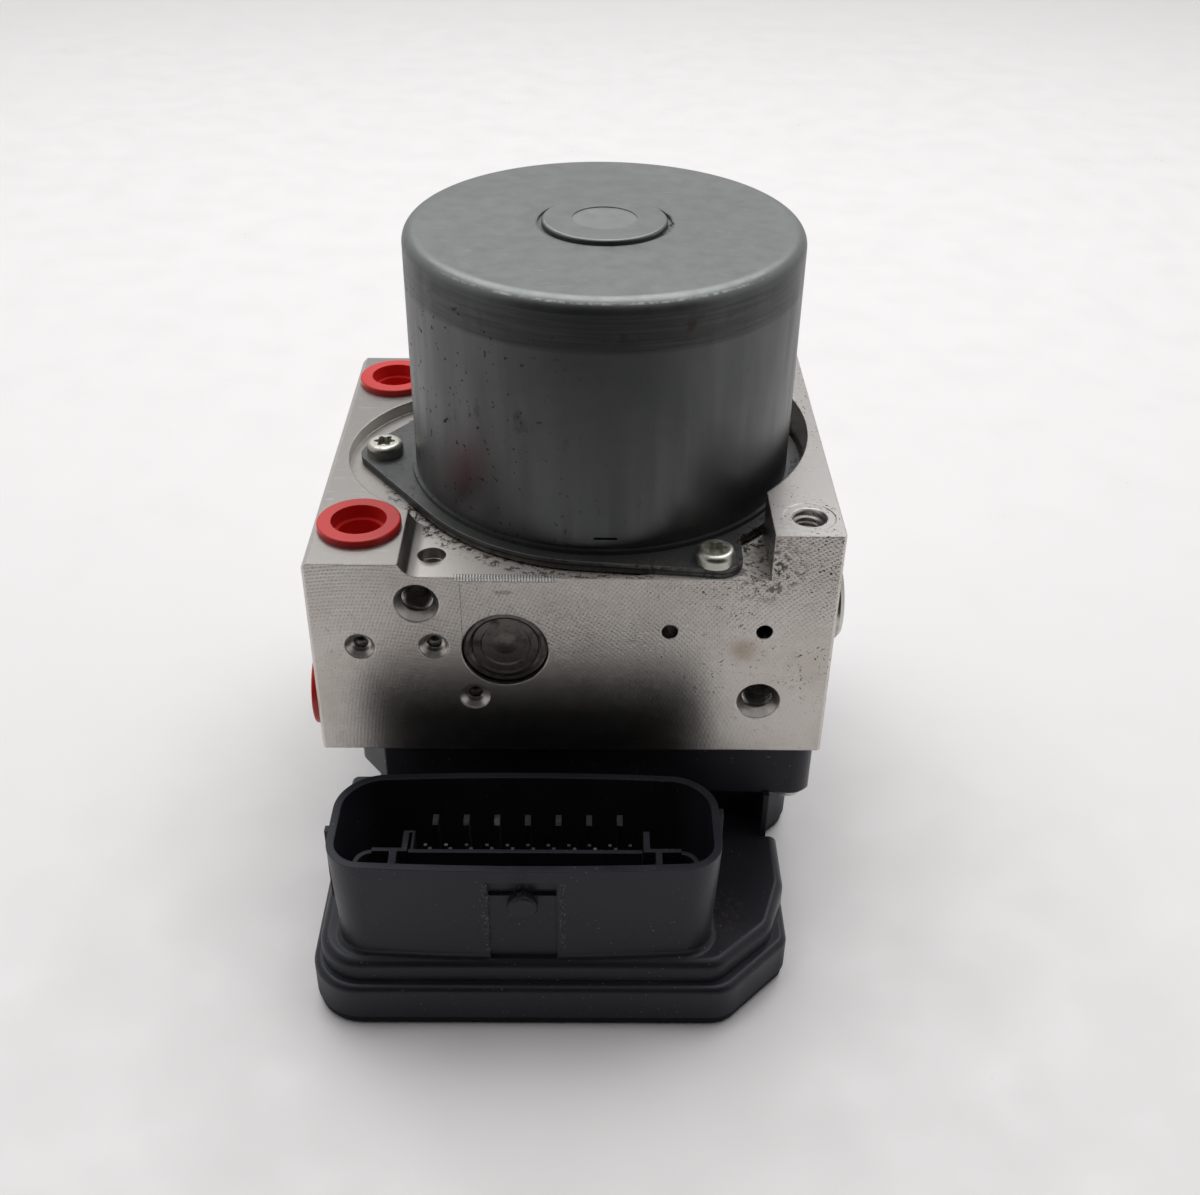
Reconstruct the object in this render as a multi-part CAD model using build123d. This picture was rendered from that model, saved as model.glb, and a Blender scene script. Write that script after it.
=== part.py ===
from build123d import *
import math
import os

# ABS brake module: an aluminium valve block with a pump motor on top and an
# electronic control unit (ECU) below, whose plug socket faces up in front.
# Millimetres. X runs to the right, Y to the back, Z up. The motor's axis is
# X = Y = 0, and Z = 0 is the underside of the control unit's lid.

# ---------------------------------------------------------------- levels
lid_thickness = 2.5
lip_height = 8.0            # housing wall above the lid, below the groove
step_height = 5.0           # housing wall above the groove, up to the deck
socket_height = 24.0        # plug socket wall above the deck
lip_top = lid_thickness + lip_height
deck_level = lip_top + step_height
block_bottom = deck_level + socket_height
flange_height = 13.0        # thick collar of the housing under the block

# ---------------------------------------------------------------- valve block
block_left = -55.6
block_right = 44.4
block_depth = 88.5
block_front = -block_depth / 2
block_back = block_depth / 2
left_land = 44.0            # heights above the block's underside
right_land = 50.8
pocket_floor = 41.3         # where the motor's flange rests
relief_depth = 0.5          # shallow groove round the motor's flange
pocket_left_top = -37.8
pocket_left_foot = -36.7
pocket_side = 5.0           # from the flange's tabs to the pocket's right wall
pocket_cove = 4.0
edge_chamfer = 1.0

# ---------------------------------------------------------------- pump motor
can_radius = 38.5
can_wall = 1.8
can_height = 50.8
can_edge = 2.6
collar_radius = can_radius + 0.8
collar_height = 0.9
boss_radius = 12.0
boss_rise = 0.8
boss_groove = 0.9
dimple_radius = 6.2
dimple_depth = 0.15
cup_radius = 13.2
coined_slot = (-1.7, 2.7)   # slot pressed into the can's foot, from X to X
coined_slot_height = 2.9    # above the flange plate
coined_slot_depth = 0.35

screw_head_radius = 3.8
screw_head_height = 2.7
lobe_socket_radius = 1.7    # six-lobed socket
lobe_socket_tip = 0.5
lobe_socket_depth = 1.4
screw_radius = 2.0
screw_length = 12.0
screw_clearance = 0.2

plate_thickness = 1.9
plate_margin = 2.3          # how far the flange plate stands out round the can
plate_radius = collar_radius + plate_margin
ear_radius = 5.0
ear_reach = 3.6             # from the plate's rim to the left screw
ear_place = (-plate_radius - ear_reach, 0.0)
tab_edge = 3.75             # from the front tab's screw to the block's front
tab_clearance = 2.5207      # between a tab screw's head and the can's collar
tab_reach = collar_radius + screw_head_radius + tab_clearance
tab_y = block_front + tab_edge
tab_place = (math.sqrt(tab_reach ** 2 - tab_y ** 2), tab_y)  # the rear tab mirrors it
tab_side = 5.3              # plate to the right of the tab screws
tab_right = tab_place[0] + tab_side
tab_corner = 4.5
tab_angle = 96.0            # where the tab's front edge leaves the round plate
tab_gap = 0.05              # the tabs end just short of the block's faces
pocket_right = tab_right + pocket_side
motor_screw_places = [ear_place, tab_place, (tab_place[0], -tab_place[1])]

seat_gap = 0.7              # room round the flange plate in its pocket
seat_radius = plate_radius + seat_gap
pocket_relief_radius = seat_radius + 1.4
relief_inner = plate_radius - 1.2
lobe_radius = 28.2          # room for the flange's left ear
lobe_centre = ear_place[0] - ear_radius - 2.3 + lobe_radius
motor_foot = block_bottom + pocket_floor
plate_top = motor_foot + plate_thickness
can_top = plate_top + can_height

bearing_outer = 11.0
bearing_inner = 4.0
bearing_width = 7.0
race_wall = 1.7
fit_gap = 0.03              # close fits, such as a bearing in its seat
run_gap = 0.05              # running fits
free_gap = 0.3              # parts that pass each other without touching

shaft_radius = bearing_inner
eccentricity = 1.1
journal_radius = 5.6
ring_radius = 8.4
ring_width = 8.0
journal_centre = 24.0       # height of the pump axis above the block's underside
chamber_radius = 10.6
chamber_floor = 16.0

magnet_thickness = 6.7
magnet_inner = can_radius - can_wall - magnet_thickness
armature_radius = magnet_inner - 1.0
armature_slots = 10
slot_width = 3.0
slot_depth = 11.0
cup_bottom = can_top - boss_rise - can_wall - bearing_width
end_turn_height = 3.4
armature_top = cup_bottom - 2.2
armature_bottom = plate_top + 15.0
armature_height = armature_top - armature_bottom
magnet_angle = 76.0
commutator_radius = 10.0
commutator_height = 8.0
commutator_bars = 10
brush_plate_thickness = 2.0
brush_plate_hole = 13.5
brush_size = (12.0, 5.0, 5.0)

# ---------------------------------------------------------------- hydraulics
plug_flange_radius = 8.05
plug_flange_thickness = 1.4
plug_wall = 0.65
plug_depth = 9.5
plug_ledge_radius = 4.3     # the cup narrows a little way down
plug_ledge_depth = 1.3
port_radius = 6.1
port_depth = 10.5
top_ports = [(-46.5, -30.6), (-46.5, 32.4)]
side_port_height = 9.6
side_port_places = [-35.4, -17.7, 17.7, 35.4]

accumulator_place = (-18.45, 24.6)
accumulator_radius = 7.0
accumulator_depth = 21.0
disc_radius = 8.35
disc_recess = 2.6
disc_dish = 6.3
disc_step = 4.9
piston_length = 7.0
spring_wire = 1.1

pump_bore_radius = 5.5
pump_cap_radius = 7.6
pump_cap_depth = 3.0
pump_piston_radius = 3.2
pump_sleeve_length = 12.0
pump_piston_length = 16.0
pump_spring_seat = 39.5     # inner end of the pump caps, from the motor axis

damper_cap_radius = 7.7
damper_cap_rise = 2.0
damper_bore_radius = 6.5
damper_depth = 15.0
damper_places = [(-33.6, 29.8), (33.6, 29.8)]

valve_first = -32.0
valve_pitch = 18.2
valve_columns = [valve_first + index * valve_pitch for index in range(4)]
valve_rows = {"inlet": -21.5, "outlet": 21.5}
valve_radius = 5.1
valve_foot_depth = 14.0
dome_radius = 3.6
dome_length = 19.0
dome_wall = 0.5
dome_floor = 1.2
coil_radius = 8.6
coil_height = 18.0
yoke_flat = 1.0             # how deep the yoke's two flats are
yoke_cheek = 1.5            # thickness of its end plates
armature_pin_radius = 2.9
armature_pin_length = 8.0
valve_stroke = 0.4
valve_rest_gap = 0.05
valve_rod_radius = 0.9
valve_rod_reach = 10.0      # end of the rod above the block's underside

m6_radius = 3.0
m6_depth = 11.0
m6_mouth = 4.3
m6_mouth_depth = 1.9
fixing_holes = [(-34.8, 35.3), (30.9, 12.55)]
land_thread_edge = 6.1      # from the land's threaded hole to the block's right face
land_thread = (block_right - land_thread_edge, -37.4)
land_thread_depth = 12.0
land_thread_mouth = 3.4
land_spot_radius = 4.9      # shallow spot face round the threaded hole
land_spot_depth = 0.12
ball_holes = [(-46.1, 25.3), (-32.0, 25.4), (-24.6, 13.3)]
ball_mouth_radius = 2.9
ball_mouth_foot = 2.0
ball_mouth_depth = 1.2
ball_lip_radius = 1.35      # staked lip that holds the ball in
ball_lip_depth = 1.8
ball_radius = 1.9
ball_hole_depth = 6.0
gauge_holes = [(12.9, 29.2), (30.9, 29.3)]
gauge_radius = 1.6
pocket_hole = (-32.2, -36.7)
pocket_hole_radius = 2.7
pocket_hole_depth = 2.4
lead_hole_radius = 3.2
lead_edge = 2.0             # from the leads' hole to the inside of the can
lead_hole = (-4.7, can_radius - can_wall - lead_hole_radius - lead_edge)
lead_stub = 6.0

# ---------------------------------------------------------------- control unit
wall = 2.2
deck_thickness = 2.0
groove_inset = 1.5
body_left = -50.0
body_right = 43.8
body_back = 43.0
collar_front = -43.4
collar_left_front = -32.5
collar_corner = (-44.1, -40.0)
lip_left = -56.0
lip_right = 37.6
lip_front = -81.0
lip_back = -44.1
lip_chamfer = 13.0
scallop_left = 35.2
scallop_back = -28.4
scallop_shelf = 2.2
scallop_cant = (1.3, 4.5)
scallop_sweep = 10.6
scallop_radii = [0.8, 3, 8, 8]
lip_rear = -26.0
lip_rear_left = -49.2
lip_reveal = 0.4
lip_rounding = 1.4
lip_ledge = 1.6             # roof over the lip, where the deck is set back
deck_rounding = 1.9
deck_setback = 2.0          # of the deck's front from the lip's
deck_front_end = 22.9       # right end of the deck's front edge
deck_bend = (34.0, -68.7)   # where its slanted corner meets its right flank
deck_flank_end = -57.2      # where the flank reaches the lip's side
deck_radii = [0, 9, 5, 6, 6, 0]
tower_left = -46.0
tower_front = -37.2
tower_left_front = -38.4
fin_foot = 33.0             # upright fin beside the open corner
fin_nose = 34.0
lid_inset = 0.4
lid_rib = 1.6
board_thickness = 1.6
board_top = lid_thickness + lid_rib + 1.0 + board_thickness
coil_floor = 14.0

socket_left = -50.0
socket_right = 21.7
socket_front = -76.6
socket_back = -53.3
socket_bulge = 0.8
socket_front_corner = 6.0
socket_back_corner = 8.5
socket_wall = 1.4
socket_draft = 1.0
socket_floor = 2.0          # floor of the socket above the deck
socket_foot = 1.2           # fillet between socket and deck
latch_centre = -14.4
latch_width = 12.7
latch_drop = 3.05           # top of the latch window below the rim
latch_window = 3.8
latch_recess = 0.45
latch_depth = 1.2
latch_pad = 0.9             # extra wall behind the latch window
latch_ramp = 4.7            # width of the ramp above the window
latch_ramp_drop = 0.9
nub_radius = 2.85
nub_drop = 8.9
nub_rise = 0.8
partition_place = -69.6
partition_thickness = 0.9
partition_drop = 3.5        # top of the partition below the rim
partition_ends = (-43.0, 15.3)
partition_joints = (-36.4, 8.2)
partition_gap = 0.3
partition_step = 0.35       # the end pieces stand a little further back
guide_ribs = [(-36.9, 1.1, 5.4), (-35.5, 0.5, 5.4), (8.8, 1.2, 5.4)]
front_ribs = [(-38.9, 1.4), (11.0, 1.2)]
end_bend = 2.8              # the partition's ends bend round to the front wall
end_drop = 0.6

power_pin_count = 7
power_pin_pitch = 5.98
power_pin_first = -32.0
power_pin_row = -58.6
power_pin_drop = 5.5
power_pin_size = (1.1, 3.0)
power_pin_chamfer = 0.5
signal_rows = [(-33.5, -64.8, 11, 6.6), (-32.4, -67.0, 10, 5.4)]
signal_pin_pitch = 3.93
signal_pin_size = (0.64, 0.64)

open_screw = (39.4, -37.5)          # reached through the open corner
tube_screws = [(-40.5, -33.0), (-40.5, 33.0), (36.8, 36.4)]
ecu_screw_places = [open_screw] + tube_screws
ecu_screw_radius = 2.4
ecu_screw_thread = 12.0
ecu_screw_head = 3.6
screw_tube_gap = 0.35
screw_tube_wall = 1.2
ecu_screw_head_height = 3.0
seal_inset = 0.5
seal_width = 1.5
seal_depth = 1.2


# ---------------------------------------------------------------- helpers
def rod(x, y, z0, z1, radius):
    """Upright cylinder from z0 to z1."""
    return Pos(x, y, (z0 + z1) / 2) * Cylinder(radius, z1 - z0)


def rod_y(x, z, y0, y1, radius):
    """Cylinder along Y from y0 to y1."""
    return Pos(x, (y0 + y1) / 2, z) * Rot(90, 0, 0) * Cylinder(radius, abs(y1 - y0))


def rod_x(y, z, x0, x1, radius):
    """Cylinder along X from x0 to x1."""
    return Pos((x0 + x1) / 2, y, z) * Rot(0, 90, 0) * Cylinder(radius, abs(x1 - x0))


def block(x0, x1, y0, y1, z0, z1):
    """Box between two corners."""
    centre = Pos((x0 + x1) / 2, (y0 + y1) / 2, (z0 + z1) / 2)
    return centre * Box(x1 - x0, y1 - y0, z1 - z0)


def outline(points, radii):
    """Closed face with rounded corners."""
    return make_face(FilletPolyline(*points, radius=radii, close=True))


def prism(face, z0, z1):
    """Flat face of the XY plane, raised to a solid from z0 to z1."""
    return Pos(0, 0, z0) * extrude(face, z1 - z0)


def turned(points):
    """Solid of revolution about Z from (radius, height) points."""
    face = make_face(Plane.XZ * Polyline(*points, close=True))
    return revolve(face, Axis.Z)


def coil_spring(radius, height, turns, wire):
    """Helical spring about Z, standing on Z = 0, with its wire's centre line inset."""
    path = Helix(pitch=(height - wire) / turns, height=height - wire, radius=radius)
    path = Pos(0, 0, wire / 2) * path
    section = Plane(path @ 0, z_dir=path % 0) * RegularPolygon(wire / 2, 6)
    return sweep(section, path, is_frenet=True)


def save(name, shape):
    """Write one node."""
    export_step(shape, os.path.join("parts", name + ".step"))


def group(solids):
    """Several separate solids that share one node."""
    return Compound(children=[solid for part in solids for solid in part.solids()])


# ---------------------------------------------------------------- valve block
def m6_hole(mouth, depth, mouth_radius, mouth_depth):
    """Threaded hole with a countersunk mouth and a drill point, along -Z of its place."""
    drill_point = m6_radius * math.tan(math.radians(31))
    profile = [
        (0, 0.01),
        (mouth_radius, 0.01),
        (mouth_radius, 0),
        (m6_radius, -mouth_depth),
        (m6_radius, -depth),
        (0, -depth - drill_point),
    ]
    return mouth * turned(profile)


def ball_hole():
    """Cross bore with a cone mouth and a staked lip, along -Z."""
    profile = [
        (0, 0.01),
        (ball_mouth_radius, 0.01),
        (ball_mouth_radius, -0.3),
        (ball_mouth_foot, -ball_mouth_depth),
        (ball_lip_radius, -ball_mouth_depth - 0.3),
        (ball_lip_radius, -ball_lip_depth),
        (ball_radius, -ball_lip_depth),
        (ball_radius, -ball_hole_depth),
        (0, -ball_hole_depth - 1.0),
    ]
    return turned(profile)


def block_body():
    base = block_bottom
    body = block(block_left, block_right, block_front, block_back, base, base + right_land)
    body -= block(block_left - 1, pocket_right, block_front - 1, block_back + 1,
                  base + left_land, base + right_land + 1)
    left_edge = body.edges().filter_by(Axis.Y).sort_by(Axis.X)[:2].sort_by(Axis.Z)[-1]
    body = chamfer(left_edge, edge_chamfer)
    upright = body.edges().filter_by(Axis.Z).filter_by(lambda e: e.length > left_land - 2)
    body = chamfer(upright, edge_chamfer / 2)
    pocket = make_face(Plane.XZ * FilletPolyline(
        (pocket_left_top - 0.2, base + left_land + 0.5),
        (pocket_left_foot, base + pocket_floor),
        (pocket_right, base + pocket_floor),
        (pocket_right, base + right_land + 1),
        radius=[0, pocket_cove, 0, 0], close=True))
    body -= Pos(0, block_back + 1, 0) * extrude(pocket, block_depth + 2)
    top = base + right_land + 1
    seat = rod(0, 0, motor_foot, top, seat_radius)
    seat += rod(lobe_centre, 0, motor_foot, top, lobe_radius)
    low = motor_foot - relief_depth
    relief = rod(0, 0, low, motor_foot + 1, pocket_relief_radius)
    relief &= block(pocket_left_foot, pocket_right - pocket_cove, -block_depth, block_depth, low, top)
    relief += rod(0, 0, low, motor_foot + 1, seat_radius)
    relief -= rod(0, 0, low - 1, top, relief_inner)
    return body - seat - relief


def block_cuts():
    base = block_bottom
    cuts = []
    # central bore: bearing seat above, pump chamber below
    cuts.append(rod(0, 0, motor_foot - bearing_width - 1, motor_foot + 1, bearing_outer + fit_gap))
    cuts.append(rod(0, 0, base + chamber_floor, motor_foot, chamber_radius))
    for side in (-1, 1):
        face = block_right if side > 0 else block_left
        cuts.append(rod_x(0, base + journal_centre, 0, face, pump_bore_radius))
        cuts.append(rod_x(0, base + journal_centre, face - side * pump_cap_depth, face + side,
                          pump_cap_radius))
    for side in (-1, 1):
        face = side * block_depth / 2
        x, z = accumulator_place
        cuts.append(rod_y(x, base + z, face + side, face - side * disc_recess, disc_radius))
        cuts.append(rod_y(x, base + z, face, face - side * accumulator_depth, accumulator_radius))
    for y, z in damper_places:
        cuts.append(rod_x(y, base + z, block_right - damper_depth, block_right + 1, damper_bore_radius))
    for x, y in top_ports:
        level = base + left_land
        cuts.append(rod(x, y, level - port_depth, level + 1, port_radius))
    for y in side_port_places:
        cuts.append(rod_x(y, base + side_port_height, block_left - 1, block_left + port_depth,
                          port_radius))
    for row in valve_rows.values():
        for x in valve_columns:
            cuts.append(rod(x, row, base - 1, base + valve_foot_depth + 0.5, valve_radius + fit_gap))
    for x, z in fixing_holes:
        face = Pos(x, block_front, base + z) * Rot(90, 0, 0)
        cuts.append(m6_hole(face, m6_depth, m6_mouth, m6_mouth_depth))
    x, y = land_thread
    mouth = Pos(x, y, base + right_land - land_spot_depth)
    cuts.append(rod(x, y, base + right_land - land_spot_depth, base + right_land + 1, land_spot_radius))
    cuts.append(m6_hole(mouth, land_thread_depth, land_thread_mouth, land_thread_mouth - m6_radius))
    for x, z in ball_holes:
        cuts.append(Pos(x, block_front, base + z) * Rot(90, 0, 0) * ball_hole())
    for x, z in gauge_holes:
        cuts.append(rod_y(x, base + z, block_front - 1, block_front + ball_hole_depth, gauge_radius))
    x, y = pocket_hole
    floor = base + pocket_floor
    cuts.append(rod(x, y, floor - pocket_hole_depth, floor + 1, pocket_hole_radius))
    x, y = lead_hole
    cuts.append(rod(x, y, base - 1, motor_foot + 1, lead_hole_radius))
    for x, y in motor_screw_places:
        cuts.append(rod(x, y, motor_foot - screw_length, motor_foot + 1, screw_radius))
    for x, y in ecu_screw_places:
        cuts.append(rod(x, y, base - 1, base + ecu_screw_thread + 1, ecu_screw_radius))
    return cuts


def valve_block():
    body = block_body()
    for cut in block_cuts():
        body -= cut
    return body


# ---------------------------------------------------------------- motor
def flange_ear():
    """Teardrop from the round plate out to the left screw."""
    x, y = ear_place
    half = math.acos((plate_radius - ear_radius) / abs(x))
    corners = []
    for side in (1, -1):
        direction = Vector(-math.cos(half), side * math.sin(half))
        corners.append(direction * plate_radius)
        corners.append(Vector(x, y) + direction * ear_radius)
    rim_top, ear_top, rim_low, ear_low = corners
    web = make_face(Polyline(rim_top, ear_top, ear_low, rim_low, close=True))
    return web + Pos(x, y) * Circle(ear_radius)


def flange_tab():
    """Corner of the plate that holds the front screw."""
    angle = math.radians(-tab_angle)
    start = (plate_radius * math.cos(angle), plate_radius * math.sin(angle))
    front = block_front - 0.15
    points = [(0, 0), start, (tab_right, front), (tab_right, -plate_radius / 2)]
    return outline(points, [0, 0, tab_corner, 0])


def motor_flange():
    face = Circle(plate_radius) + flange_ear()
    tab = flange_tab()
    face += tab
    face += mirror(tab, Plane.XZ)
    face -= Circle(bearing_outer + 1.5)
    face -= Pos(*lead_hole) * Circle(lead_hole_radius)
    for x, y in motor_screw_places:
        face -= Pos(x, y) * Circle(screw_radius + screw_clearance)
    trim = Rectangle(200, block_depth - 2 * tab_gap)
    return prism(face & trim, motor_foot, plate_top)


def motor_can():
    top = can_top - boss_rise
    inner = can_radius - can_wall
    shell = rod(0, 0, plate_top, top, can_radius)
    shell = fillet(shell.edges().group_by(Axis.Z)[-1], can_edge)
    shell += rod(0, 0, plate_top, plate_top + collar_height, collar_radius)
    hollow = rod(0, 0, plate_top - 1, top - can_wall, inner)
    hollow = fillet(hollow.edges().group_by(Axis.Z)[-1], can_edge - 1.0)
    shell -= hollow
    ring = rod(0, 0, top - boss_groove / 2, top + 1, boss_radius + boss_groove)
    shell -= ring - rod(0, 0, top - 1, top + 2, boss_radius)
    boss = rod(0, 0, top - can_wall, can_top, boss_radius)
    shell += fillet(boss.edges().group_by(Axis.Z)[-1], boss_rise * 0.7)
    cup = rod(0, 0, cup_bottom, top - can_wall + 0.2, cup_radius)
    shell += cup - rod(0, 0, 0, top - can_wall, bearing_outer + fit_gap)
    shell -= rod(0, 0, can_top - dimple_depth, can_top + 1, dimple_radius)
    x0, x1 = coined_slot
    z0 = plate_top + coined_slot_height
    slot_back = -math.sqrt((can_radius - coined_slot_depth) ** 2 - x1 ** 2)
    return shell - block(x0, x1, -can_radius - 1, slot_back, z0, z0 + 0.5)


def lobe_socket(depth):
    """Six-lobed driver socket, sunk below Z = 0."""
    face = Circle(lobe_socket_radius)
    for index in range(6):
        face += Rot(0, 0, index * 60) * Pos(lobe_socket_radius, 0) * Circle(lobe_socket_tip)
    for index in range(6):
        face -= Rot(0, 0, index * 60 + 30) * Pos(lobe_socket_radius + 0.25, 0) * Circle(0.45)
    return Pos(0, 0, -depth) * extrude(face, depth + 1)


def pan_screw(x, y, seat, length):
    """Pan head screw, standing with its head up on its seat."""
    head = rod(x, y, seat, seat + screw_head_height, screw_head_radius)
    head = fillet(head.edges().group_by(Axis.Z)[-1], screw_head_height * 0.45)
    head -= Pos(x, y, seat + screw_head_height) * lobe_socket(lobe_socket_depth)
    return head + rod(x, y, seat - length, seat + 0.1, screw_radius - 0.05)


def ball_bearing(z0):
    """Deep groove bearing: two races with a crown of balls joined by the cage."""
    z1 = z0 + bearing_width
    outer = rod(0, 0, z0, z1, bearing_outer) - rod(0, 0, z0 - 1, z1 + 1, bearing_outer - race_wall)
    inner = rod(0, 0, z0, z1, bearing_inner + race_wall)
    inner -= rod(0, 0, z0 - 1, z1 + 1, bearing_inner)
    shield_out = bearing_outer - race_wall
    shield_in = bearing_inner + race_wall + free_gap
    crown = rod(0, 0, z0 + 0.6, z1 - 0.6, shield_out) - rod(0, 0, z0, z1, shield_in)
    return outer + crown, inner


def motor_shaft(rear_top):
    low = block_bottom + journal_centre - ring_width / 2 - 1
    shaft = rod(0, 0, low, rear_top, shaft_radius)
    journal = rod(0, eccentricity, low + 1, low + 1 + ring_width, journal_radius)
    shaft += journal
    return chamfer(shaft.edges().group_by(Axis.Z)[-1], 0.5)


def armature_core():
    z0, z1 = armature_bottom, armature_bottom + armature_height
    face = Circle(armature_radius) - Circle(shaft_radius)
    pitch = 360 / armature_slots
    for index in range(armature_slots):
        mouth = Pos(slot_depth / 2, 0) * Rectangle(4, slot_width * 0.5)
        slot = Rectangle(slot_depth, slot_width * 2) + mouth
        face -= Rot(0, 0, index * pitch) * Pos(armature_radius - slot_depth / 2 - 2.2, 0) * slot
    return prism(face, z0, z1)


def windings():
    """End turns of the coils, as a crown above and below the laminations."""
    crown_radius = armature_radius - 3.0
    inner = cup_radius + 1.0
    height = end_turn_height
    z1 = armature_top
    lower = rod(0, 0, armature_bottom - height, armature_bottom, crown_radius)
    lower -= rod(0, 0, 0, 300, inner)
    upper = rod(0, 0, z1, z1 + height, crown_radius) - rod(0, 0, 0, 300, inner)
    wires = []
    pitch = 360 / armature_slots
    for index in range(armature_slots):
        middle = Pos(armature_radius - slot_depth / 2 - 2.6, 0)
        bundle = Rot(0, 0, index * pitch) * middle * Rectangle(slot_depth - 2.6, slot_width * 2 - 1)
        wires.append(prism(bundle, armature_bottom - 0.5, z1 + 0.5))
    crown = lower + upper
    for wire in wires:
        crown += wire
    return crown


def commutator():
    z1 = armature_bottom - 4.0
    z0 = z1 - commutator_height
    face = Circle(commutator_radius) - Circle(shaft_radius)
    for index in range(commutator_bars):
        gap = Pos(commutator_radius, 0) * Rectangle(2.4, 0.6)
        face -= Rot(0, 0, index * 360 / commutator_bars) * gap
    return prism(face, z0, z1)


def magnet(side):
    outer = can_radius - can_wall
    z0 = armature_bottom - 1.0
    z1 = armature_bottom + armature_height + 1.0
    ring = rod(0, 0, z0, z1, outer) - rod(0, 0, z0 - 1, z1 + 1, magnet_inner)
    reach = 60.0
    spread = reach * math.tan(math.radians(magnet_angle))
    wedge = make_face(Polyline((0, 0), (side * reach, -spread), (side * reach, spread), close=True))
    return ring & prism(wedge, z0 - 1, z1 + 1)


def brush_holder():
    z0 = plate_top + 0.3
    outer = can_radius - can_wall - 0.1
    plate = rod(0, 0, z0, z0 + brush_plate_thickness, outer)
    plate -= rod(0, 0, z0 - 1, z0 + 9, brush_plate_hole)
    length, width, height = brush_size
    for side in (-1, 1):
        x0 = commutator_radius + 3.0
        tube = block(x0, x0 + length + 6, -width / 2 - 1, width / 2 + 1,
                     z0 + brush_plate_thickness, z0 + brush_plate_thickness + height + 1.2)
        tube -= block(x0 - 1, x0 + length + 4.8, -width / 2 - 0.1, width / 2 + 0.1,
                      z0 + brush_plate_thickness, z0 + brush_plate_thickness + height + 0.1)
        plate += Rot(0, 0, 0 if side > 0 else 180) * tube
    return plate


def brush(side):
    length, width, height = brush_size
    z0 = plate_top + 0.3 + brush_plate_thickness
    piece = block(commutator_radius + run_gap, commutator_radius + length, -width / 2, width / 2,
                  z0, z0 + height)
    piece -= rod(0, 0, z0 - 1, z0 + height + 1, commutator_radius + run_gap)
    return Rot(0, 0, 0 if side > 0 else 180) * piece


def motor_leads():
    """Two contact blades in an insulating sleeve, from the brushes down to the board."""
    x, y = lead_hole
    sleeve = rod(x, y, block_bottom - lead_stub, plate_top + 0.3, lead_hole_radius - 0.15)
    for side in (-1, 1):
        blade = Pos(x + side * 1.3, y) * Rectangle(1.0, 1.6)
        sleeve += prism(blade, board_top, block_bottom)
    return sleeve


# ---------------------------------------------------------------- hydraulic parts
def port_plug():
    """Push-in plug: a thin flange with a hollow cup below it, along -Z of its seat."""
    body = port_radius - 0.1
    bore = body - plug_wall
    profile = [
        (bore, plug_flange_thickness),
        (plug_flange_radius, plug_flange_thickness),
        (plug_flange_radius, 0),
        (body, 0),
        (body - 0.4, -plug_depth),
        (0, -plug_depth),
        (0, -plug_depth + 1.0),
        (plug_ledge_radius - 0.2, -plug_depth + 1.0),
        (plug_ledge_radius, -plug_ledge_depth),
        (bore - 0.1, -plug_ledge_depth),
    ]
    plug = turned(profile)
    rim = plug.edges().filter_by(GeomType.CIRCLE)
    outer_rim = [e for e in rim if abs(e.radius - plug_flange_radius) < 0.01 and e.center().Z > 0.1]
    return fillet(outer_rim, 0.4)


def accumulator(side):
    """Piston, spring and cap along Y. Front is side -1."""
    x, z = accumulator_place
    z += block_bottom
    face = side * block_depth / 2
    inward = Pos(x, face, z) * Rot(90 if side < 0 else -90, 0, 0)
    # local Z points out of the block
    floor = -accumulator_depth
    middle = floor + 0.4 + piston_length / 2
    piston = Pos(0, 0, middle) * Cylinder(accumulator_radius - run_gap, piston_length)
    piston -= Pos(0, 0, middle + piston_length / 2) * Cylinder(accumulator_radius - 1.8, 6.0)
    spring_foot = floor + 0.4 + piston_length - 3.0
    cap_inner = -disc_recess - 1.2
    rim = -disc_recess + 1.6
    spring = Pos(0, 0, spring_foot) * coil_spring(3.9, cap_inner - spring_foot, 5, spring_wire)
    profile = [
        (0, cap_inner),
        (disc_dish - 0.3, cap_inner),
        (disc_dish - 0.3, -disc_recess),
        (disc_radius - 0.02, -disc_recess),
        (disc_radius - 0.02, rim - 0.7),
        (disc_radius - 0.25, rim - 0.25),
        (disc_radius - 0.7, rim),
        (disc_dish + 0.7, rim),
        (disc_dish + 0.25, rim - 0.25),
        (disc_dish, rim - 0.8),
        (disc_step, rim - 0.8),
        (disc_step - 0.25, rim - 1.2),
        (disc_step * 0.5, rim - 1.2),
        (0, rim - 1.05),
    ]
    return inward * piston, inward * spring, inward * turned(profile)


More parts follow.
